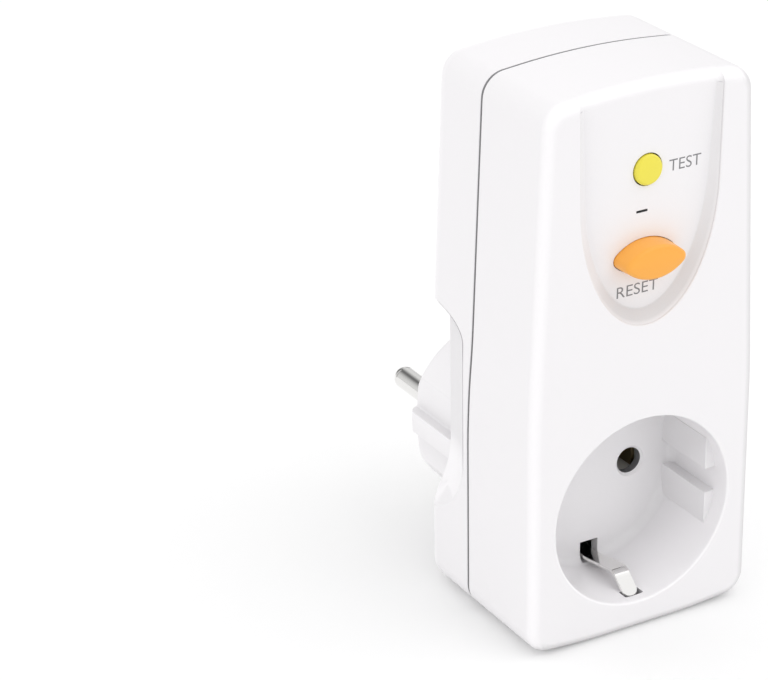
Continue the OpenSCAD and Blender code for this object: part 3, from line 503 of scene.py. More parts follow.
def moulded(name, colour, other, rough=0.38, spread=0.12, grain=2500.0, bump=0.12, drift=40.0,
            shade=None, reach=0.007, contrast=1.0, highlight=None, shaded=(0.7, 0.69, 0.7)):
    material, tree, shader = startMaterial(name)
    tint = addGroup(tree, colourDrift, Colour=colour, Other=other, Scale=drift)
    skin = addGroup(tree, mouldGrain, Scale=grain, Roughness=rough, Spread=spread)
    if highlight:
        tint = addGroup(tree, edgeLightAndShade, tint, Rubbed=highlight, Shaded=shaded)
    if shade:
        tint = addGroup(tree, creviceShade, tint, Shade=shade, Reach=reach, Contrast=contrast)
    addSkin(tree, shader, tint, skin, grainHeight, bump)
    return material


def metal(name, colour, other, rough=0.2, spread=0.12, along=(1.0, 1.0, 1.0), bump=0.05, drift=90.0):
    material, tree, shader = startMaterial(name)
    tint = addGroup(tree, colourDrift, Colour=colour, Other=other, Scale=drift)
    skin = addGroup(tree, drawnLines, Along=along, Roughness=rough, Spread=spread)
    shader.inputs["Metallic"].default_value = 1.0
    addSkin(tree, shader, tint, skin, lineHeight, bump)
    return material


fineSkin = dict(spread=0.1, grain=3000.0, bump=0.05)
knobSkin = dict(spread=0.1, grain=3000.0, bump=0.06)
# lighter white of the painted edge highlight
highlightWhite = (0.97, 0.955, 0.97)
looseCount = 6
finishes = dict(
    white_shell=moulded("whiteShell", (0.89, 0.875, 0.89), (0.88, 0.865, 0.88), 0.42, **fineSkin,
                        shade=(0.49, 0.48, 0.495), contrast=1.7, highlight=highlightWhite),
    orange_button=moulded("orangeButton", (0.96, 0.43, 0.064), (0.94, 0.41, 0.056), 0.36, **knobSkin,
                          shade=(0.72, 0.27, 0.05)),
    yellow_button=moulded("yellowButton", (0.86, 0.76, 0.078), (0.84, 0.74, 0.07), 0.36, **knobSkin,
                          shade=(0.62, 0.52, 0.06)),
    red_flag=moulded("redFlag", (0.45, 0.03, 0.02), (0.40, 0.02, 0.015), 0.5),
    dark_insulator=moulded("darkInsulator", (0.028, 0.027, 0.027), (0.022, 0.021, 0.021), 0.45, 0.15,
                           bump=0.15),
    inner_moulding=moulded("innerMoulding", (0.74, 0.73, 0.69), (0.70, 0.69, 0.65), 0.45),
    dark_moulding=moulded("darkMoulding", (0.035, 0.035, 0.038), (0.028, 0.028, 0.03), 0.42, bump=0.15),
    nickel=metal("nickel", (0.86, 0.852, 0.84), (0.82, 0.812, 0.80), 0.11, 0.1, (1.0, 0.05, 1.0), 0.03),
    steel=metal("steel", (0.60, 0.60, 0.61), (0.54, 0.54, 0.55), 0.28, 0.16),
    contact_brass=metal("contactBrass", (0.30, 0.24, 0.14), (0.24, 0.19, 0.11), 0.5, 0.16,
                        (1.0, 1.0, 0.08)),
    core_iron=metal("coreIron", (0.30, 0.30, 0.31), (0.24, 0.24, 0.25), 0.45, 0.2),
    copper_winding=metal("copperWinding", (0.62, 0.26, 0.12), (0.54, 0.21, 0.09), 0.3, 0.16,
                         (0.3, 0.3, 4.0), 0.3),
    brown_wire=moulded("brownWire", (0.16, 0.06, 0.03), (0.14, 0.05, 0.025), 0.45, 0.1),
    blue_wire=moulded("blueWire", (0.03, 0.10, 0.40), (0.025, 0.09, 0.36), 0.45, 0.1),
    green_board=moulded("greenBoard", (0.03, 0.16, 0.07), (0.02, 0.12, 0.05), 0.4, 0.15, 1500.0, 0.2,
                        300.0),
    blue_disc=moulded("blueDisc", (0.04, 0.11, 0.33), (0.03, 0.09, 0.29), 0.35, 0.1),
    tan_body=moulded("tanBody", (0.58, 0.44, 0.27), (0.52, 0.39, 0.23), 0.45, 0.1),
    amber_body=moulded("amberBody", (0.66, 0.34, 0.10), (0.60, 0.30, 0.08), 0.4, 0.1),
)
labelInk = moulded("labelInk", (0.20, 0.20, 0.21), (0.23, 0.23, 0.24), 0.55, 0.1)
# the white moulding again, with weaker painted crevice shade and the painted edge highlight, for the
# socket's well
wellShell = moulded("wellShell", (0.89, 0.878, 0.89), (0.88, 0.868, 0.88), 0.3, **fineSkin,
                    shade=(0.81, 0.80, 0.81), reach=0.012, highlight=highlightWhite)
# the white moulding again, a little lighter and with weaker painted crevice shade, for the plug
plugShell = moulded("plugShell", (0.90, 0.885, 0.90), (0.89, 0.875, 0.89), 0.4, **fineSkin,
                    shade=(0.68, 0.67, 0.68), contrast=1.2)
seamShade = moulded("seamShade", (0.36, 0.36, 0.37), (0.40, 0.40, 0.41), 0.7, 0.1)
holeShade = moulded("holeShade", (0.18, 0.18, 0.185), (0.20, 0.20, 0.205), 0.6, 0.1)
strapMetal = metal("strapMetal", (0.48, 0.48, 0.49), (0.43, 0.43, 0.44), 0.3, 0.12, (1.0, 0.05, 1.0), 0.04)
print("materials made:", len(finishes) + looseCount)


# front cover

panel = dict(
    half=15.3, topHalf=15.7, midZ=93.0, lowZ=65.5, above=3.0,
    depth=2.2, topDepth=0.9, rim=0.35, wallShare=1.2,
    wall=((0.3, 0.26), (0.6, 0.54), (0.9, 0.86), (0.975, 0.96), (1.0, 1.1)),
    topRound=2.6, topEnd=15.65, topFade=1.6, padBack=4.4,
    wallShade=0.3, footShade=0.6, shadeHalf=16.0, shadeFrom=1.7, shadeTo=3.1,
)
well = dict(
    r=19.75, depth=18.5, floor=2.2, rim=0.5, fillet=2.0,
    holeR=2.75, holeBevel=0.5,
    ribFlat=17.25, ribHeight=6.8, ribGap=5.2, ribStop=3.9, ribEdge=0.15,
    slotHalf=2.1, slotLow=15.2, slotHigh=19.6, slotEdge=0.2,
    notchLow=17.75, notchHigh=21.05, notchFront=2.2, notchBack=4.6,
)
screw = dict(
    lowX=17.25, lowZ=5.4, highX=16.5, highZ=106.0,
    r=1.5, grip=0.03, play=0.2, flare=0.45, headR=2.3, headH=2.0, seat=28.0, length=14.0, bossR=3.6,
)
post = dict(x=14.5, inset=2.0, r=2.0, back=16.9, stakeR=1.0, stakeBack=18.9)
root = 0.5  # bosses and posts start inside the front wall
screwPlaces = [(s * x, z) for s in (-1, 1)
               for x, z in ((screw["lowX"], screw["lowZ"]), (screw["highX"], screw["highZ"]))]
postPlaces = [(s * post["x"], z) for s in (-1, 1)
              for z in (datum["chassisLow"] + post["inset"], datum["chassisHigh"] - post["inset"])]


def panelFloor(z):
    run = datum["crown"] - panel["lowZ"]
    return panel["depth"] + (panel["topDepth"] - panel["depth"]) * (z - panel["lowZ"]) / run


def panelLoop(grow, sideSteps=14, arcSteps=44):
    p = panel
    top = datum["crown"] + p["above"]
    half = p["half"] + grow
    topHalf = p["topHalf"] + grow
    drop = p["midZ"] - p["lowZ"] + grow
    loop = []
    for k in range(sideSteps):
        t = k / sideSteps
        loop.append((topHalf + (half - topHalf) * t, top + (p["midZ"] - top) * t))
    for k in range(arcSteps + 1):
        turn = math.pi * k / arcSteps
        loop.append((half * math.cos(turn), p["midZ"] - drop * math.sin(turn)))
    for k in range(1, sideSteps + 1):
        t = k / sideSteps
        loop.append((-half + (half - topHalf) * t, p["midZ"] + (top - p["midZ"]) * t))
    return loop


def panelCutter():
    p = panel  # wall: pairs of how far down and how far in
    rim = p["rim"]
    rings = [[(x, -clear, z) for x, z in panelLoop(rim)]]
    for a in quarter(4):
        rings.append([(x, rim * (1 - math.cos(a)), z) for x, z in panelLoop(rim * (1 - math.sin(a)))])
    edge = panelLoop(0.0)
    for down, along in p["wall"]:
        ring = []
        for k, (x, z) in enumerate(edge):
            px, pz = panelLoop(-p["wallShare"] * panelFloor(z) * along)[k]
            ring.append((px, rim + (panelFloor(pz) - rim) * down, pz))
        rings.append(ring)
    return loft("panelCutter", rings)


def panelShade(x, y, z):
    p = panel
    if abs(x) > p["shadeHalf"] or z < p["lowZ"] - 1 or not p["rim"] + near < y < panelFloor(z) - 0.01:
        return 0.0
    turn = math.atan2(max(p["midZ"] - z, 0.0) / (p["midZ"] - p["lowZ"]), x / p["half"])
    right = 1 - smoothStep(p["shadeFrom"], p["shadeTo"], turn)
    return -right * (p["wallShade"] + p["footShade"] * math.sin(turn))


def panelTopCutter():
    p = panel
    r = p["topRound"]
    rings = []
    fade = [p["topEnd"] - p["topFade"] * (1 - math.cos(a)) for a in quarter(6)]
    middle = [fade[-1] * (1 - k / 7) for k in range(1, 14)]
    for x in fade + middle + [-x for x in reversed(fade)]:
        top = topHeight(x)
        side = max(1 - (p["topEnd"] - abs(x)) / p["topFade"], 0.0)
        start = panelFloor(top - r) * math.sqrt(1 - side * side)
        ring = [(x, start + r * (1 - math.cos(a)), top - r + r * math.sin(a)) for a in quarter(8)]
        ring += [(x, start + r, top + clear), (x, -3.0, top + clear), (x, -3.0, top - r)]
        rings.append(ring)
    return loft("panelTopCutter", rings)


def wellCutter():
    w = well
    profile = [(0.05, -clear), (w["r"] + w["rim"], -clear)]
    profile += [(w["r"] + w["rim"] * (1 - math.sin(a)), w["rim"] * (1 - math.cos(a))) for a in quarter(4)]
    profile += [(w["r"] - w["fillet"] * (1 - math.cos(a)), w["depth"] - w["fillet"] * (1 - math.sin(a)))
                for a in quarter(6)]
    profile.append((0.05, w["depth"]))
    cutter = turned("wellCutter", profile, 0.0, datum["axisZ"], 128)
    for sx in (-1, 1):
        for sz in (-1, 1):
            middle = datum["axisZ"] + sz * (w["ribGap"] + w["ribHeight"]) / 2
            zs = (middle - w["ribHeight"] / 2, middle + w["ribHeight"] / 2)
            carve(cutter, softBlock("rib", span(0.0, sx, w["ribFlat"], w["r"] + 3),
                                    (w["ribStop"], w["depth"] + 2), zs, w["ribEdge"]))
    return cutter


lens = dict(
    r=8.75, drop=5.25, tip=1.6, stretch=1.04, gap=0.12, taper=0.12, taperFrom=1.9,
    face=-3.0, edge=0.9, dome=0.25, inner=3.3, stemBore=2.03,
    flangeFront=4.6, flangeBack=5.8, flangeLip=1.0,
)


def lensLoop(grow, arcSteps=30, tipSteps=8):
    r = lens["r"] + grow
    q = max(lens["tip"] + grow, 0.06)
    qx = math.sqrt((r - q) ** 2 - lens["drop"] ** 2)
    lean = math.atan2(lens["drop"], qx)
    loop = []
    for k in range(tipSteps):
        turn = -lean + 2 * lean * k / tipSteps
        loop.append((qx + q * math.cos(turn), q * math.sin(turn)))
    for k in range(arcSteps):
        turn = lean + (math.pi - 2 * lean) * k / arcSteps
        loop.append((r * math.cos(turn), r * math.sin(turn) - lens["drop"]))
    loop += [(-x, -z) for x, z in loop]
    return [(x * lens["stretch"], z + datum["resetZ"]) for x, z in loop]


testKnob = dict(r=3.0, gap=0.25, face=0.5, edge=0.6, rise=0.12, flangeR=4.0, stemR=1.2)
window = dict(half=1.25, high=0.25, edge=0.12)


def makeFrontCover():
    s, w = shell, well
    seam, wall, axis = datum["seam"], datum["wall"], datum["axisZ"]
    flagX, windowZ = datum["flagX"], datum["windowZ"]
    loop = filletLoop(shellCorners(), lambda x, z: s["frontStep"])
    edges = [s["frontEdge"] + (s["topEdge"] - s["frontEdge"]) * max(p[3], 0.0) ** 2 for p in loop]

    rings = []
    for a in quarter(8):
        rings.append(insetRing(loop, [(r * (1 - math.sin(a)), r * (1 - math.cos(a))) for r in edges]))
    for level in ((0.0, seam - s["lip"]), (s["lip"], seam)):
        rings.append(insetRing(loop, [level] * len(loop)))
    cover = loft("frontCover", rings)

    hollow = loft("hollow", [insetRing(loop, [(wall, y)] * len(loop)) for y in (wall, seam + 1)])
    carve(hollow, prism("pad", panelLoop(wall), root, panel["padBack"]))
    carve(hollow, rod("wellWall", w["r"] + wall, root, w["depth"] + w["floor"], 0.0, axis, 128))
    for x, z in screwPlaces:
        carve(hollow, rod("boss", screw["bossR"], root, seam + 2, x, z, 40))
    stepped = [(post["r"], root), (post["r"], post["back"]), (post["stakeR"], post["back"]),
               (post["stakeR"], post["stakeBack"])]
    for x, z in postPlaces:
        carve(hollow, turned("post", stepped, x, z, 32))
    carve(cover, hollow)

    carve(cover, panelCutter())
    carve(cover, panelTopCutter())
    carve(cover, wellCutter())
    floor = w["depth"]
    through = floor + w["floor"] + 1
    bevelled = [(w["holeR"] + w["holeBevel"] + 0.3, floor - 0.3), (w["holeR"], floor + w["holeBevel"]),
                (w["holeR"], through)]
    slotX = (-w["slotHalf"], w["slotHalf"])
    for side in (-1, 1):
        carve(cover, turned("pinHole", bevelled, side * datum["pinX"], axis, 48))
        slotZ = span(axis, side, w["slotLow"], w["slotHigh"])
        carve(cover, softBlock("clipSlot", slotX, (floor - 1, through), slotZ, w["slotEdge"]))
        notchZ = span(axis, side, w["notchLow"], w["notchHigh"])
        notchY = (w["notchFront"], w["notchBack"])
        carve(cover, softBlock("clipNotch", slotX, notchY, notchZ, w["slotEdge"]))
    boreStart = screw["seat"] - screw["length"] - 1
    for x, z in screwPlaces:
        carve(cover, rod("screwBore", screw["r"] + screw["grip"], boreStart, seam + 1, x, z, 24))
    padEnd = panel["padBack"] + 1
    carve(cover, prism("lensHole", lensLoop(lens["gap"]), -clear, padEnd))
    carve(cover, rod("testHole", testKnob["r"] + testKnob["gap"], -clear, padEnd, 0.0, datum["testZ"], 48))
    carve(cover, softBlock("flagWindow", (flagX - window["half"], flagX + window["half"]), (-clear, padEnd),
                           (windowZ - window["high"], windowZ + window["high"]), window["edge"]))

    def inPinHole(x, z):
        return math.hypot(abs(x) - datum["pinX"], z - axis) < w["holeR"] + near

    # painted highlight on the well's rim, its walls and the pin holes' rims; painted shade on the panel's
    # walls beyond
    def wellLightAndShade(x, y, z):
        out = math.hypot(x, z - axis) - w["r"]
        if y < w["rim"] and 0 < out < w["rim"]:
            return math.sin(2 * math.atan2(w["rim"] - out, w["rim"] - y))
        if abs(out) < 0.02 and y < floor - w["fillet"] + 0.1:
            return 1.0
        if out > 1:
            return panelShade(x, y, z)
        return 1.0 if inPinHole(x, z) and y < floor + w["holeBevel"] + near else 0.0

    paintEdgeLight(cover, loop, lambda y: y, s["frontEdge"], wellLightAndShade)
    place(cover, "housing", "white_shell", "front_cover")
    # faces in the well take the copy with weaker painted shade; the pin holes' walls and the indicator
    # window take a dark painted shade
    for extra in (wellShell, holeShade):
        cover.data.materials.append(extra)
    for face in cover.data.polygons:
        x, y, z = face.center * perMetre
        y -= frontY * perMetre
        if inPinHole(x, z) and y > floor + w["holeBevel"]:
            face.material_index = 2
        elif math.hypot(x, z - axis) < w["r"] + 0.1 and 0.4 < y < floor + w["holeBevel"]:
            face.material_index = 1
        elif abs(x - flagX) < window["half"] + near and abs(z - windowZ) < window["high"] + near:
            face.material_index = 2
    leanSeam(cover, seam - s["lip"] - near, seam + near)
    return cover


frontCover = makeFrontCover()
print("front cover done:", len(frontCover.data.polygons), "faces")


# rear cover, with a finger scoop in each side

scoop = dict(
    r=20.0, seam=2.6, deep=5.2, low=31.0, high=57.2, steep=2.3, ease=0.3, stub=1.0,
    line=0.4, lineDeep=0.24, lineRun=3.0, lineFades=((26.0, 36.0), (52.0, 58.0)),
    paintX=18.0, paintLow=22.0, paintHigh=63.0, paintLight=0.8, paintDark=1.2, paintFrom=27.0, paintTo=33.0,
)
rearGrid = dict(
    side=12, line=4, corner=4, middle=16, back=10, backReach=9.0, cornerReach=1.5, sideways=0.9,
    reachFrom=(14.0, 22.0), reachTo=(60.0, 67.0), samples=240, halvings=20,
    wideX=20.0, low=14.0, high=67.0, bendLow=54.0, bendHigh=63.0, bendStep=0.4, scoopStep=0.6, step=2.5,
)
boardPost = dict(x=14.5, rise=2.3, stakeFront=32.9, front=35.0)
shelf = dict(half=8.0, front=23.4, low=1.8, high=0.2, edge=0.2)
wireBore = dict(half=3.4, front=23.9, back=30.7, low=3.6, high=1.4, edge=1.5)
plugBore = dict(wide=19.6, mouth=18.73)


# how far the rings run in over the back, short at the corners so that they don't fold over

def backReachAt(z, nx):
    g = rearGrid
    if abs(nx) < g["sideways"]:
        return g["cornerReach"]
    full = smoothStep(*g["reachFrom"], z) * (1 - smoothStep(*g["reachTo"], z))
    return g["cornerReach"] + (g["backReach"] - g["cornerReach"]) * full


def rearStep(x, z):
    g = rearGrid
    if abs(x) <= g["wideX"] or not g["low"] < z < g["high"]:
        return g["step"]
    return g["bendStep"] if g["bendLow"] < z < g["bendHigh"] else g["scoopStep"]


def scoopCentre():
    run = datum["back"] - datum["seam"] - scoop["seam"]
    chord = math.hypot(scoop["deep"], run)
    stand = math.sqrt(scoop["r"] ** 2 - chord ** 2 / 4)
    x = shell["shoulderHalf"] - scoop["deep"] / 2 + stand * run / chord
    return x, datum["back"] - run / 2 + stand * scoop["deep"] / chord


scoop["x"], scoop["y"] = scoopCentre()


# one section from the seam to the back, as (inset, y), with the scoop pressed into it

def rearProfile(x, z, nx, inset0, yStart, yBack, edge, grow):
    g = rearGrid
    straight = yBack - edge - yStart
    arc = edge * math.pi / 2
    total = straight + arc + backReachAt(z, nx)

    def spot(s):
        if s < straight:
            return inset0, yStart + s
        if s < straight + arc:
            a = (s - straight) / edge
            return inset0 + edge * (1 - math.cos(a)), yBack - edge + edge * math.sin(a)
        return inset0 + edge + s - straight - arc, yBack

    beyond = max(scoop["low"] - z, (z - scoop["high"]) * scoop["steep"], 0.0)
    r = 0.0
    if abs(nx) > g["sideways"]:
        r = math.sqrt(max((scoop["r"] + grow) ** 2 - beyond ** 2, 0.0))
    centre = (abs(x) - scoop["x"]) / max(abs(nx), 0.5)

    def inside(s):
        inset, y = spot(s)
        return math.hypot(inset - centre, y - scoop["y"]) < r

    def cross(out, within):
        for _ in range(g["halvings"]):
            half = (out + within) / 2
            if inside(half):
                within = half
            else:
                out = half
        return within

    samples = [total * k / g["samples"] for k in range(g["samples"] + 1)]
    hits = [s for s in samples if inside(s)] if r > 0 else []
    middle = straight + arc / 2
    first = middle - scoop["stub"]
    last = middle + scoop["stub"]
    cut = bool(hits)
    groove = 0.0
    if cut:
        a = cross(max(hits[0] - total / g["samples"], 0.0), hits[0])
        b = cross(min(hits[-1] + total / g["samples"], total), hits[-1])
        first = min(first, a)
        last = max(last, b)
        depth = scoop["lineDeep"] * sum(smoothStep(*fade, z) for fade in scoop["lineFades"])
        groove = depth * min((b - a) / scoop["lineRun"], 1.0) if grow == 0 else 0.0

    def pressed(s):
        inset, y = spot(s)
        if cut and inside(s):
            away = math.hypot(inset - centre, y - scoop["y"])
            inset = centre + (inset - centre) / away * r
            y = min(scoop["y"] + (y - scoop["y"]) / away * r, yBack)
        return inset, y

    def onArc(t):
        if not cut or first == middle - scoop["stub"] or last == middle + scoop["stub"]:
            return pressed(first + (last - first) * t)
        start, end = spot(first), spot(last)
        turnA = math.atan2(start[1] - scoop["y"], start[0] - centre)
        turnB = math.atan2(end[1] - scoop["y"], end[0] - centre)
        turn = turnA + (turnB - turnA) * t
        return centre + r * math.cos(turn), scoop["y"] + r * math.sin(turn)

    def bent(before, corner, after):
        ts = [k / g["corner"] for k in range(g["corner"])]
        return [tuple((1 - t) ** 2 * p + 2 * t * (1 - t) * c + t * t * q
                      for p, c, q in zip(before, corner, after)) for t in ts]

    ease = scoop["ease"]
    share = min(ease / max(last - first, 0.1), 0.3)
    line = first - ease - scoop["line"]
    points = [spot(line * k / g["side"]) for k in range(g["side"])]
    for k in range(g["line"]):
        inset, y = spot(line + scoop["line"] * k / g["line"])
        points.append((inset + groove * math.sin(math.pi * k / g["line"]), y))
    points += bent(spot(first - ease), spot(first), onArc(share))
    points += [onArc(share + (1 - 2 * share) * k / g["middle"]) for k in range(g["middle"])]
    points += bent(onArc(1 - share), spot(last), spot(last + ease))
    points += [spot(last + ease + (total - last - ease) * k / g["back"]) for k in range(g["back"] + 1)]
    return points


def rearRings(loop, before, inset0, yStart, yBack, edge, grow):
    columns = [before + rearProfile(x, z, nx, inset0, yStart, yBack, edge, grow) for x, z, nx, nz in loop]
    return [insetRing(loop, level) for level in zip(*columns)]


def makeRearCover():
    s = shell
    seam, back, wall, axis = datum["seam"], datum["back"], datum["wall"], datum["axisZ"]
    loop = filletLoop(shellCorners(), rearStep)
    floor = seam + s["groove"]
    before = [(s["grooveIn"], seam), (s["grooveIn"], floor), (s["lip"], floor)]
    cover = loft("rearCover", rearRings(loop, before, 0.0, floor + s["lip"], back, s["backEdge"], 0.0))
    inner = [(wall, seam - 1)]
    hollow = loft("hollow", rearRings(loop, inner, wall, seam - 0.5, back - wall, 1.0, wall))
    for x, z in screwPlaces:
        carve(hollow, rod("boss", screw["bossR"], seam - 2, back, x, z, 40))
    b = boardPost
    stepped = [(post["stakeR"], b["stakeFront"]), (post["stakeR"], b["front"]), (post["r"], b["front"]),
               (post["r"], back)]
    for side in (-1, 1):
        carve(hollow, turned("boardPost", stepped, side * b["x"], datum["boardLow"] + b["rise"], 32))
    ring = datum["ringLow"]
    carve(hollow, softBlock("shelf", (-shelf["half"], shelf["half"]), (shelf["front"], back),
                            (ring - shelf["low"], ring - shelf["high"]), shelf["edge"]))
    carve(cover, hollow)
    w = wireBore
    carve(cover, softBlock("wireBore", (-w["half"], w["half"]), (w["front"], w["back"]),
                           (ring - w["low"], ring + w["high"]), w["edge"]))
    wide, mouth = plugBore["wide"], plugBore["mouth"]
    bore = [(wide, seam - 1), (wide, back - wall), (mouth, back - wall), (mouth, back + 1)]
    carve(cover, turned("plugBore", bore, 0.0, axis, 128))
    shankR, headR = screw["r"] + screw["play"], screw["headR"] + datum["slip"]
    flareR = headR + screw["flare"]
    hole = [(shankR, seam - 1), (shankR, screw["seat"]), (headR, screw["seat"]), (headR, back - 0.5),
            (flareR, back + 0.05), (flareR, back + 1)]
    for x, z in screwPlaces:
        carve(cover, turned("screwHole", hole, x, z, 40))

    # painted highlight at the lower end of each finger scoop and painted shade over the rest of it
    def scoopLightAndShade(x, y, z):
        c = scoop
        beside = abs(x) < c["paintX"] or not c["paintLow"] < z < c["paintHigh"]
        if beside or not seam + c["seam"] < y < back - 0.2:
            return 0.0
        sunk = min(max(insetOf(x, z, loop)[0] - 0.1, 0.0), 1.0)
        return sunk * (c["paintLight"] - c["paintDark"] * smoothStep(c["paintFrom"], c["paintTo"], z))

    paintEdgeLight(cover, loop, lambda y: back - y, s["backEdge"], scoopLightAndShade)
    place(cover, "housing", "white_shell", "rear_cover")
    cover.data.materials.append(seamShade)
    for face in cover.data.polygons:
        y = (face.center.y - frontY) * perMetre
        if seam - 0.01 < y < floor + 0.01:
            face.material_index = 1
    leanSeam(cover, seam - near, floor + s["lip"] + near)
    return cover


rearCover = makeRearCover()
print("rear cover done:", len(rearCover.data.polygons), "faces")


# buttons

def makeResetButton():
    n = lens
    front = n["flangeFront"]
    levels = [(n["flangeLip"], n["flangeBack"]), (n["flangeLip"], front), (0.0, front)]
    side = n["face"] + n["dome"]
    run = n["taperFrom"] - side - n["edge"]
    levels += [(-n["taper"] * (k / 4) ** 1.5, n["taperFrom"] - run * k / 4) for k in range(4)]
    levels += [(-n["taper"] - n["edge"] * (1 - math.cos(a)), side + n["edge"] * (1 - math.sin(a)))
               for a in quarter(8)]
    rim = n["taper"] + n["edge"]
    for k in range(1, 6):
        t = k / 5
        levels.append((-rim - (n["inner"] - rim) * t, side - n["dome"] * (1 - (1 - t) ** 2)))
    button = loft("resetButton", [[(x, y, z) for x, z in lensLoop(grow)] for grow, y in levels])
    carve(button, rod("stemBore", n["stemBore"], 0.0, 8.0, 0.0, datum["resetZ"], 32))
    place(button, "reset_body", "orange_button", "reset_button", 40.0)


def makeTestButton():
    t = testKnob
    tip = depthOf("test_button", 1)
    front, back = lens["flangeFront"], lens["flangeBack"]
    profile = [(t["stemR"] - 0.3, tip), (t["stemR"], tip - 0.3), (t["stemR"], back),
               (t["flangeR"] - 0.1, back), (t["flangeR"], back - 0.1), (t["flangeR"], front + 0.1),
               (t["flangeR"] - 0.1, front), (t["r"], front)]
    rim, edge = t["face"] + t["rise"], t["edge"]
    profile += [(t["r"] - edge * (1 - math.cos(a)), rim + edge * (1 - math.sin(a))) for a in quarter(6)]
    flat = t["r"] - edge
    profile += [(flat * (1 - k / 5) + 0.02, t["face"] + t["rise"] * (1 - k / 5) ** 2) for k in range(1, 6)]
    button = turned("testButton", profile, 0.0, datum["testZ"], 64)
    place(button, "test_body", "yellow_button", "test_button", 40.0)


makeResetButton()
makeTestButton()
print("buttons done")


# words beside the buttons

labels = dict(
    testLabel=dict(word="TEST", x=8.3, z=95.7, width=7.1, cap=2.3),
    resetLabel=dict(word="RESET", x=-1.2, z=72.35, width=9.2, cap=2.3),
)
labelLift = 0.012
labelThin = -0.004


def makeLabel(name, word, x, z, width, cap):
    curve = bpy.data.curves.new(name, "FONT")
    curve.body = word
    curve.align_x = "CENTER"
    curve.align_y = "CENTER"
    curve.offset = labelThin
    text = addObject(name + "Line", curve)
    deps = bpy.context.evaluated_depsgraph_get()
    mesh = bpy.data.meshes.new_from_object(text.evaluated_get(deps))
    bpy.data.objects.remove(text)
    low = Vector([min(v.co[i] for v in mesh.vertices) for i in range(3)])
    high = Vector([max(v.co[i] for v in mesh.vertices) for i in range(3)])
    middle = (low + high) / 2
    for v in mesh.vertices:
        up = z + (v.co.y - middle.y) * (cap / (high.y - low.y))
        v.co = (x + (v.co.x - middle.x) * (width / (high.x - low.x)), panelFloor(up) - labelLift, up)
    place(addObject(name, mesh), "housing", None, smooth=30.0, material=labelInk, weighted=False)


for labelName, labelSpec in labels.items():
    makeLabel(labelName, **labelSpec)
print("labels done")


# plug

plug = dict(
    r=18.7, bore=14.0, flangeR=19.45, flangeFront=34.3, flangeBack=36.28, faceEdge=2.5, faceT=2.5,
    flat=16.3, ribHalf=2.25, flatStart=2.5, flatEdge=0.5, out=3.0, fit=0.03,
    slotHalf=1.7, slotDeep=4.85, slotEdge=0.25, bridgeGap=2.6, bridgeW=1.8, bridgeT=1.2, under=0.6,
    bridgeR=13.8, bridgeEdge=0.2, pinBore=2.23, collarR=3.5,
    frameHalfX=5.75, frameHalfZ=5.5, frameRise=8.4, frameWall=1.4, frameR=0.7, frameGap=0.3,
    tabHalf=2.5, tabOut=1.9, tabDown=1.2, tabT=0.5, tabPlay=0.2, leafDown=1.0,
    valley=0.9, valleyIn=2.0, valleyOut=7.5, valleyDeep=1.2,
)
frameZ = datum["axisZ"] + plug["frameRise"]


def tabRoom(name, side, first, second):
    p = plug
    face = datum["plugFace"]
    half = p["tabHalf"] + p["tabPlay"]
    return softBlock(name, (-half, half), (face - p["tabDown"] - p["tabT"] - 0.1, face + 2),
                     span(frameZ, side, first, second))


def makePlugBody():
    p = plug
    face, back, axis = datum["plugFace"], datum["back"], datum["axisZ"]
    inner = face - p["faceT"]
    edge = p["faceEdge"]
    r = p["r"]
    profile = [(p["bore"], p["flangeFront"]), (p["flangeR"], p["flangeFront"]),
               (p["flangeR"], p["flangeBack"]), (r, p["flangeBack"]), (r, back + 4), (r, back + 10)]
    profile += [(r - edge * (1 - math.cos(a)), face - edge + edge * math.sin(a)) for a in quarter(8)]
    profile += [(r - edge - (r - edge - 0.05) * k / 14, face) for k in range(1, 15)]
    profile += [(0.05, inner), (p["bore"], inner)]
    body = turned("plugBody", profile, 0.0, axis, 128, True)
    brink = face - p["valleyDeep"]
    for v in body.data.vertices:
        if v.co.y > brink:
            dip = 1 - smoothStep(p["valleyIn"], p["valleyOut"], abs(v.co.x))
            v.co.y -= p["valley"] * dip * smoothStep(brink, face, v.co.y)
    start = back + p["flatStart"]
    far = r + p["out"]
    for sx in (-1, 1):
        for sz in (-1, 1):
            carve(body, softBlock("flat", span(0.0, sx, p["flat"], far), (start, face + p["out"]),
                                  span(axis, sz, p["ribHalf"], far), p["flatEdge"]))
    xs = (-p["slotHalf"], p["slotHalf"])
    barFront = face - p["bridgeGap"]
    barBack = barFront - p["bridgeW"]
    for side in (-1, 1):
        zs = span(axis, side, r - p["slotDeep"], far)
        carve(body, softBlock("slot", xs, (start, barBack), zs, p["slotEdge"]))
        carve(body, softBlock("slotMouth", xs, (barFront, face + p["out"]), zs, p["slotEdge"]))
        zs = span(axis, side, r - p["slotDeep"], r - p["bridgeT"])
        carve(body, softBlock("slotUnder", xs, (barBack - p["under"], barFront + p["under"]), zs))
        carve(body, rod("collarHole", p["collarR"] + p["fit"], inner - 1, face + 1,
                        side * datum["pinX"], axis, 48))
    halfX, halfZ = p["frameHalfX"] + p["fit"], p["frameHalfZ"] + p["fit"]
    carve(body, softBlock("frameHole", (-halfX, halfX), (inner - 1, face + 2),
                          (frameZ - halfZ, frameZ + halfZ), p["frameR"]))
    for side in (-1, 1):
        carve(body, tabRoom("tabRecess", side, p["frameHalfZ"] - p["tabPlay"],
                            p["frameHalfZ"] + p["tabOut"] + p["tabPlay"]))
    place(body, "housing", "white_shell", "plug_body", material=plugShell)


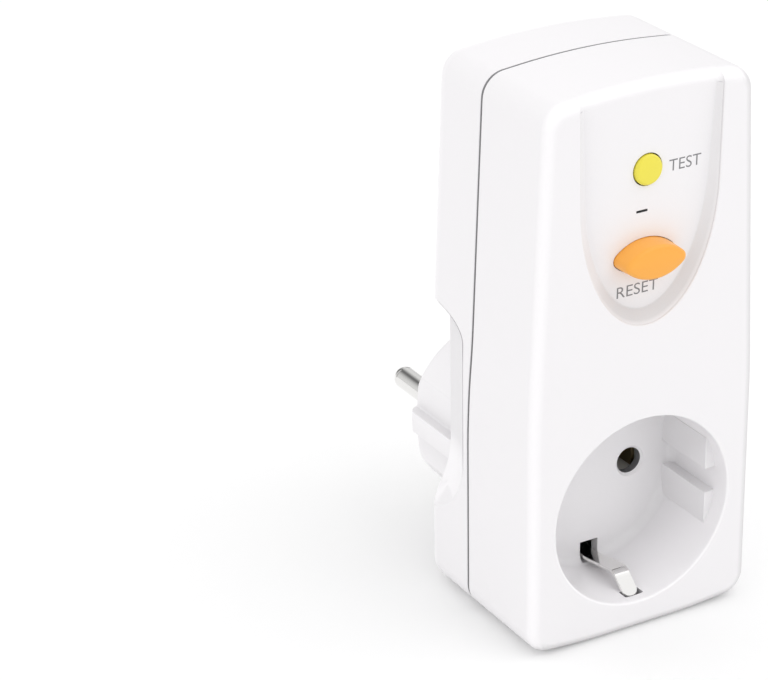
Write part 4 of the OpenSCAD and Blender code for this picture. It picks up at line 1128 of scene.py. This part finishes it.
def makePinBridge():
    p = plug
    face, start, axis = datum["plugFace"], datum["bridge"], datum["axisZ"]
    inner = face - p["faceT"]
    r, edge = p["bridgeR"], p["bridgeEdge"]
    profile = [(r - edge, start), (r, start + edge), (r, inner - edge), (r - edge, inner)]
    bridge = turned("pinBridge", profile, 0.0, axis, 96)
    collar = [(p["collarR"], start + 1), (p["collarR"], face - edge), (p["collarR"] - edge, face)]
    for side in (-1, 1):
        carve(bridge, turned("collar", collar, side * datum["pinX"], axis, 48), "UNION")
    halfX, halfZ = p["frameHalfX"], p["frameHalfZ"]
    carve(bridge, softBlock("frameOuter", (-halfX, halfX), (start + 1, face - 0.05),
                            (frameZ - halfZ, frameZ + halfZ), p["frameR"] - 0.1), "UNION")
    holeX, holeZ = halfX - p["frameWall"], halfZ - p["frameWall"]
    carve(bridge, softBlock("frameInner", (-holeX, holeX), (start - 1, face + 2),
                            (frameZ - holeZ, frameZ + holeZ), 0.4))
    for side in (-1, 1):
        carve(bridge, tabRoom("frameGap", side, holeZ - 0.5, halfZ + 1))
        carve(bridge, rod("pinBore", p["pinBore"], start - 1, face + 1, side * datum["pinX"], axis, 40))
    place(bridge, "housing", "dark_insulator", "pin_bridge")


def makeReceptacle():
    p = plug
    face, start, thick = datum["plugFace"], datum["bridge"], clip["thick"]
    halfX = p["frameHalfX"] - p["frameWall"] - p["frameGap"]
    halfZ = p["frameHalfZ"] - p["frameWall"] - p["frameGap"]
    top = face - p["tabDown"]
    foot = start + 0.1
    leafZ = (frameZ - halfZ, frameZ + halfZ)
    tabX = (-p["tabHalf"], p["tabHalf"])
    parts = [softBlock("earthReceptacle", (-halfX, halfX), (start, start + thick), leafZ, 0.1)]
    inner, outer = halfZ - p["tabT"], p["frameHalfZ"] + p["tabOut"]
    for side in (-1, 1):
        parts.append(softBlock("leaf", span(0.0, side, halfX, halfX - thick), (foot, face - p["leafDown"]),
                               leafZ, 0.12))
        parts.append(softBlock("upright", tabX, (foot, top),
                               span(frameZ, side, halfZ, inner), 0.1))
        parts.append(softBlock("tab", tabX, (top - p["tabT"], top - 0.01),
                               span(frameZ, side, inner + near, outer), 0.1))
    place(joined(parts), "housing", "nickel", "plug_earth_receptacle", 30.0)


pin = dict(
    r=2.4, shankR=2.2, headR=3.2, headT=1.0, tail=4.0,
    edge=0.1, tailEdge=0.2, faceEdge=0.12, tipGroove=0.06,
)


def makePin(name, side, node):
    face, tip, start = datum["plugFace"], datum["pinTip"], datum["bridge"]
    r, shank, head, edge = pin["r"], pin["shankR"], pin["headR"], pin["edge"]
    end = start - pin["tail"]
    under = start - pin["headT"]
    over = start - 0.02
    dome = r - pin["tipGroove"] * 0.3
    profile = [(shank - pin["tailEdge"], end), (shank, end + pin["tailEdge"]), (shank, under),
               (head - edge, under), (head, under + edge), (head, over), (shank, over),
               (shank, face), (r - pin["faceEdge"], face), (r, face + pin["faceEdge"]), (r, tip - r - 0.25),
               (r - pin["tipGroove"], tip - r - 0.12), (dome, tip - r)]
    profile += [(dome * math.cos(a) + 0.02, tip - r + r * math.sin(a)) for a in quarter(12)[1:]]
    obj = turned(name, profile, side * datum["pinX"], datum["axisZ"], 64)
    place(obj, "housing", "nickel", node, 30.0)


makePlugBody()
makePinBridge()
makePin("linePin", 1, "line_pin")
makePin("neutralPin", -1, "neutral_pin")
print("plug and pins done")


# bent metal strips: a path in the y and z plane, eased at its bends, swept across x

def easedPath(points, radius, steps=6):
    path = [Vector(points[0])]
    for i in range(1, len(points) - 1):
        p = Vector(points[i])
        toBack = Vector(points[i - 1]) - p
        toNext = Vector(points[i + 1]) - p
        reach = min(radius, toBack.length * 0.45, toNext.length * 0.45)
        a = p + toBack.normalized() * reach
        b = p + toNext.normalized() * reach
        for k in range(steps + 1):
            t = k / steps
            path.append((1 - t) ** 2 * a + 2 * t * (1 - t) * p + t * t * b)
    path.append(Vector(points[-1]))
    return path


def stripRings(path, halfAt, thick, edge):
    rings = []
    length = [0.0]
    for a, b in zip(path, path[1:]):
        length.append(length[-1] + (b - a).length)
    for i, p in enumerate(path):
        ahead = (path[min(i + 1, len(path) - 1)] - path[max(i - 1, 0)]).normalized()
        normal = Vector((-ahead.y, ahead.x))
        half = halfAt(length[i], length[-1])
        t = thick / 2
        section = []
        for sx, sn in ((1, 1), (-1, 1), (-1, -1), (1, -1)):
            corner = [(sx * (half - edge), sn * t), (sx * half, sn * (t - edge))]
            if sx * sn > 0:
                corner.reverse()
            section += corner
        ring = []
        for x, n in section:
            spot = p + normal * n
            ring.append((x, spot.x, spot.y))
        rings.append(ring)
    return rings


clip = dict(
    half=1.8, thick=0.7, edge=0.15, bend=1.3, tabR=1.5, tipSteps=12, tipCrowd=1.6,
    y=21.3, jogFrom=12.5, jogTo=14.5, jogY=25.0, root=18.3, rootY=17.0,
    reach=16.5, bendY=7.6, tip=20.4, tipY=3.2,
)


def makeEarthClips():
    c = clip
    r = c["tabR"]

    def halfAt(s, total):
        left = max(total - s, 0.0)
        if left > r:
            return c["half"]
        return c["half"] - r + math.sqrt(max(r ** 2 - (r - left) ** 2, 0.0)) + 0.02

    parts = []
    for side in (1, -1):
        points = [(c["y"], 0.0), (c["y"], c["jogFrom"]), (c["jogY"], c["jogTo"]), (c["jogY"], c["root"]),
                  (c["rootY"], c["root"]), (c["bendY"], c["reach"]), (c["tipY"], c["tip"])]
        path = easedPath([(y, side * z + datum["axisZ"]) for y, z in points], c["bend"])
        last = path.pop()
        tail = path[-1]
        for k in range(1, c["tipSteps"] + 1):
            path.append(tail + (last - tail) * (1 - (1 - k / c["tipSteps"]) ** c["tipCrowd"]))
        parts.append(loft("earthClips", stripRings(path, halfAt, c["thick"], c["edge"])))
    place(joined(parts), "housing", "nickel", "socket_earth_bracket", 30.0)


strap = dict(half=1.4, thick=0.9, edge=0.12, bend=1.2, inset=1.75, bow=0.6, turn=1.5, tailEnd=0.9)


def makeEarthStrap():
    t = strap
    axis = datum["axisZ"]
    y = datum["bridge"] - 0.5
    r = plug["r"] - t["inset"]
    low = datum["back"] + plug["flatStart"] + 1.0
    parts = []
    for side in (1, -1):
        points = [(y, 0.0), (y, r), (low + t["turn"], r + t["bow"]), (low, r - t["bow"])]
        path = easedPath([(a, side * b + axis) for a, b in points], t["bend"])
        part = loft("earthStrap", stripRings(path, lambda s, total: t["half"], t["thick"], t["edge"]))
        tail = softBlock("tail", (-t["half"], t["half"]), (y - 1.0, datum["plugFace"] - t["tailEnd"]),
                         span(axis, side, r - t["thick"] / 2, r + t["thick"] / 2), t["edge"])
        parts.append(joined([part, tail]))
    place(joined(parts), "housing", "nickel", "plug_earth_strap", 30.0, strapMetal)


makeEarthClips()
makeEarthStrap()
makeReceptacle()
print("earthing strips done")


# screws

thread = dict(lead=1.2, start=1.4, pitch=1.0, rise=0.35, run=0.7, deep=0.3, tipR=0.3)
cross = dict(half=1.5, thin=0.3, deep=0.9, edge=0.1)


def makeScrews():
    s, t = screw, thread
    seat, tip = s["seat"], s["seat"] - s["length"]
    head = seat + s["headH"]
    brow = head - cross["deep"]
    profile = [(t["tipR"], tip), (s["r"] - 0.35, tip + t["lead"])]
    y = tip + t["start"]
    while y < seat - t["start"]:
        profile += [(s["r"] - t["deep"], y), (s["r"], y + t["rise"]), (s["r"] - t["deep"], y + t["run"])]
        y += t["pitch"]
    profile += [(s["r"] - 0.2, seat - 0.02), (s["headR"], seat + 0.02), (s["headR"], brow)]
    profile += [(s["headR"] * math.cos(a), brow + cross["deep"] * math.sin(a)) for a in quarter(5)[1:-1]]
    profile.append((t["tipR"], head))
    parts = []
    for x, z in screwPlaces:
        part = turned("coverScrews", profile, x, z, 32)
        for w, h in ((cross["half"], cross["thin"]), (cross["thin"], cross["half"])):
            carve(part, softBlock("cross", (x - w, x + w), (brow, head + 1), (z - h, z + h), cross["edge"]))
        parts.append(part)
    place(joined(parts), "housing", "steel", "cover_screws", 30.0)


makeScrews()
print("screws done")


# springs, each a copy of its solid, held in the housing

springs = [
    dict(name="resetSpring", node="reset_spring", joint="reset_press", axis=(0, 1, 0), held=1, travel=3.0),
    dict(name="testSpring", node="test_spring", joint="test_press", axis=(0, 1, 0), held=1, travel=1.5),
    dict(name="tripSpring", node="trip_spring", joint="carriage_slide", axis=(0, 1, 0), held=0,
         travel=1.95),
    dict(name="plungerSpring", node="plunger_spring", joint="plunger_slide", axis=(0, 0, 1), held=0,
         travel=1.5),
]


def makeSpring(name, node, joint, axis, held, travel):
    source = frame["nodes"][node]
    mesh = source.data.copy()
    mesh.transform(source.matrix_world)
    dress(mesh, finishes["steel"], 180.0)
    obj = addObject(name, mesh)
    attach(obj, "housing")
    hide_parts(node)
    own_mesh(obj)


for spring in springs:
    makeSpring(**spring)
print("springs done")


# pieces that keep their own solid

slotOf = {row["node"]: row["material_slot"] for row in frame["record"]["subparts"]}
for nodeName, nodeObject in frame["nodes"].items():
    dress(nodeObject.data, finishes[slotOf[nodeName]], 32.0)


# camera, at the place the picture was taken from

cameraPlace = dict(azimuth=-29.232, elevation=25.111, roll=-1.024, distance=527.72, lens=131.46,
                   sensor=36.0, clip=0.01, right=49.35, up=-9.75, aimZ=51.5)


def makeCamera():
    c = cameraPlace
    a, e, roll = (math.radians(c[key]) for key in ("azimuth", "elevation", "roll"))
    back = Vector((math.sin(a) * math.cos(e), -math.cos(a) * math.cos(e), math.sin(e)))
    level = Vector((math.cos(a), math.sin(a), 0.0))
    rise = back.cross(level)
    right = level * math.cos(roll) + rise * math.sin(roll)
    up = rise * math.cos(roll) - level * math.sin(roll)
    spot = Vector((0, 0, c["aimZ"])) + back * c["distance"] - right * c["right"] - up * c["up"]
    data = bpy.data.cameras.new("photoCamera")
    data.sensor_fit = "HORIZONTAL"
    data.sensor_width = c["sensor"]
    data.lens = c["lens"]
    data.clip_start = c["clip"]
    camera = addObject("photoCamera", data)
    turn = Matrix((right, up, back)).transposed().to_4x4()
    camera.matrix_world = Matrix.Translation(spot / perMetre + Vector((0, frontY, 0))) @ turn
    bpy.context.scene.camera = camera


makeCamera()


# floor and light

studio = dict(
    floorHalf=4.0, floorColour=0.95, floorBounce=0.84, floorGlow=0.1,
    worldTop=1.20, worldLow=1.34, rampFrom=-0.2, rampTo=0.9, lean=0.2,
    stripes=5, stripeAt=1.06, stripeDip=0.8,
    keyPlace=(0.53, -0.48, 0.96), keyAim=(0.0, 0.0, 0.05), keySize=1.1, keyPower=3.1,
)


def seenRay(tree):
    path = tree.nodes.new("ShaderNodeLightPath")
    seen = mathNode(tree, "MAXIMUM", path.outputs["Is Camera Ray"], path.outputs["Is Glossy Ray"])
    seen = mathNode(tree, "MAXIMUM", seen, path.outputs["Is Transmission Ray"])
    return seen, path.outputs["Is Glossy Ray"]


def makeFloor():
    half = studio["floorHalf"]
    corners = [(-half, -half, 0), (half, -half, 0), (half, half, 0), (-half, half, 0)]
    floor = meshObject("floor", corners, [(0, 1, 2, 3)])
    material = bpy.data.materials.new("paleFloor")
    material.use_nodes = True
    tree = material.node_tree
    tree.nodes.clear()
    matt = tree.nodes.new("ShaderNodeBsdfDiffuse")
    seen = seenRay(tree)[0]
    lift = mathNode(tree, "MULTIPLY", seen, studio["floorColour"] - studio["floorBounce"])
    tree.links.new(mathNode(tree, "ADD", lift, studio["floorBounce"]), matt.inputs["Color"])
    glow = tree.nodes.new("ShaderNodeEmission")
    both = tree.nodes.new("ShaderNodeMixShader")
    tree.links.new(mathNode(tree, "MULTIPLY", seen, studio["floorGlow"]), both.inputs[0])
    tree.links.new(matt.outputs[0], both.inputs[1])
    tree.links.new(glow.outputs[0], both.inputs[2])
    out = tree.nodes.new("ShaderNodeOutputMaterial")
    tree.links.new(both.outputs[0], out.inputs["Surface"])
    floor.data.materials.append(material)


# white where it is seen, with soft dark stripes for metal to show, and a graded light for the rest

def makeWorld():
    world = bpy.data.worlds.new("studioWorld")
    bpy.context.scene.world = world
    world.use_nodes = True
    tree = world.node_tree
    tree.nodes.clear()

    def times(first, second):
        return mathNode(tree, "MULTIPLY", first, second)

    def less(first, second):
        return mathNode(tree, "SUBTRACT", first, second)

    spot = tree.nodes.new("ShaderNodeTexCoord").outputs["Generated"]
    parts = tree.nodes.new("ShaderNodeSeparateXYZ")
    tree.links.new(spot, parts.inputs[0])
    ramp = tree.nodes.new("ShaderNodeMapRange")
    tree.links.new(parts.outputs["Z"], ramp.inputs["Value"])
    for label, key in (("From Min", "rampFrom"), ("From Max", "rampTo"), ("To Min", "worldLow"),
                       ("To Max", "worldTop")):
        ramp.inputs[label].default_value = studio[key]
    seen, glossy = seenRay(tree)
    level = times(less(1.0, times(parts.outputs["X"], studio["lean"])), ramp.outputs["Result"])
    turn = mathNode(tree, "ARCTAN2", parts.outputs["Y"], parts.outputs["X"])
    wave = times(less(turn, studio["stripeAt"]), studio["stripes"])
    dark = less(1.0, mathNode(tree, "COSINE", wave, 0.0))
    dip = times(times(dark, studio["stripeDip"] / 2), glossy)
    white = times(seen, less(1.0, dip))
    strength = mathNode(tree, "ADD", white, times(less(1.0, seen), level))
    ground = tree.nodes.new("ShaderNodeBackground")
    tree.links.new(strength, ground.inputs["Strength"])
    out = tree.nodes.new("ShaderNodeOutputWorld")
    tree.links.new(ground.outputs[0], out.inputs["Surface"])


def makeSoftbox(name):
    data = bpy.data.lights.new(name, "AREA")
    data.shape = "SQUARE"
    data.size = studio["keySize"]
    data.energy = studio["keyPower"]
    lamp = addObject(name, data)
    lamp.location = studio["keyPlace"]
    aim = Vector(studio["keyAim"]) - Vector(studio["keyPlace"])
    lamp.rotation_euler = aim.to_track_quat("-Z", "Y").to_euler()


makeFloor()
makeWorld()
makeSoftbox("keyBox")
bpy.context.scene.view_settings.view_transform = "Standard"
print("camera, floor and light done")
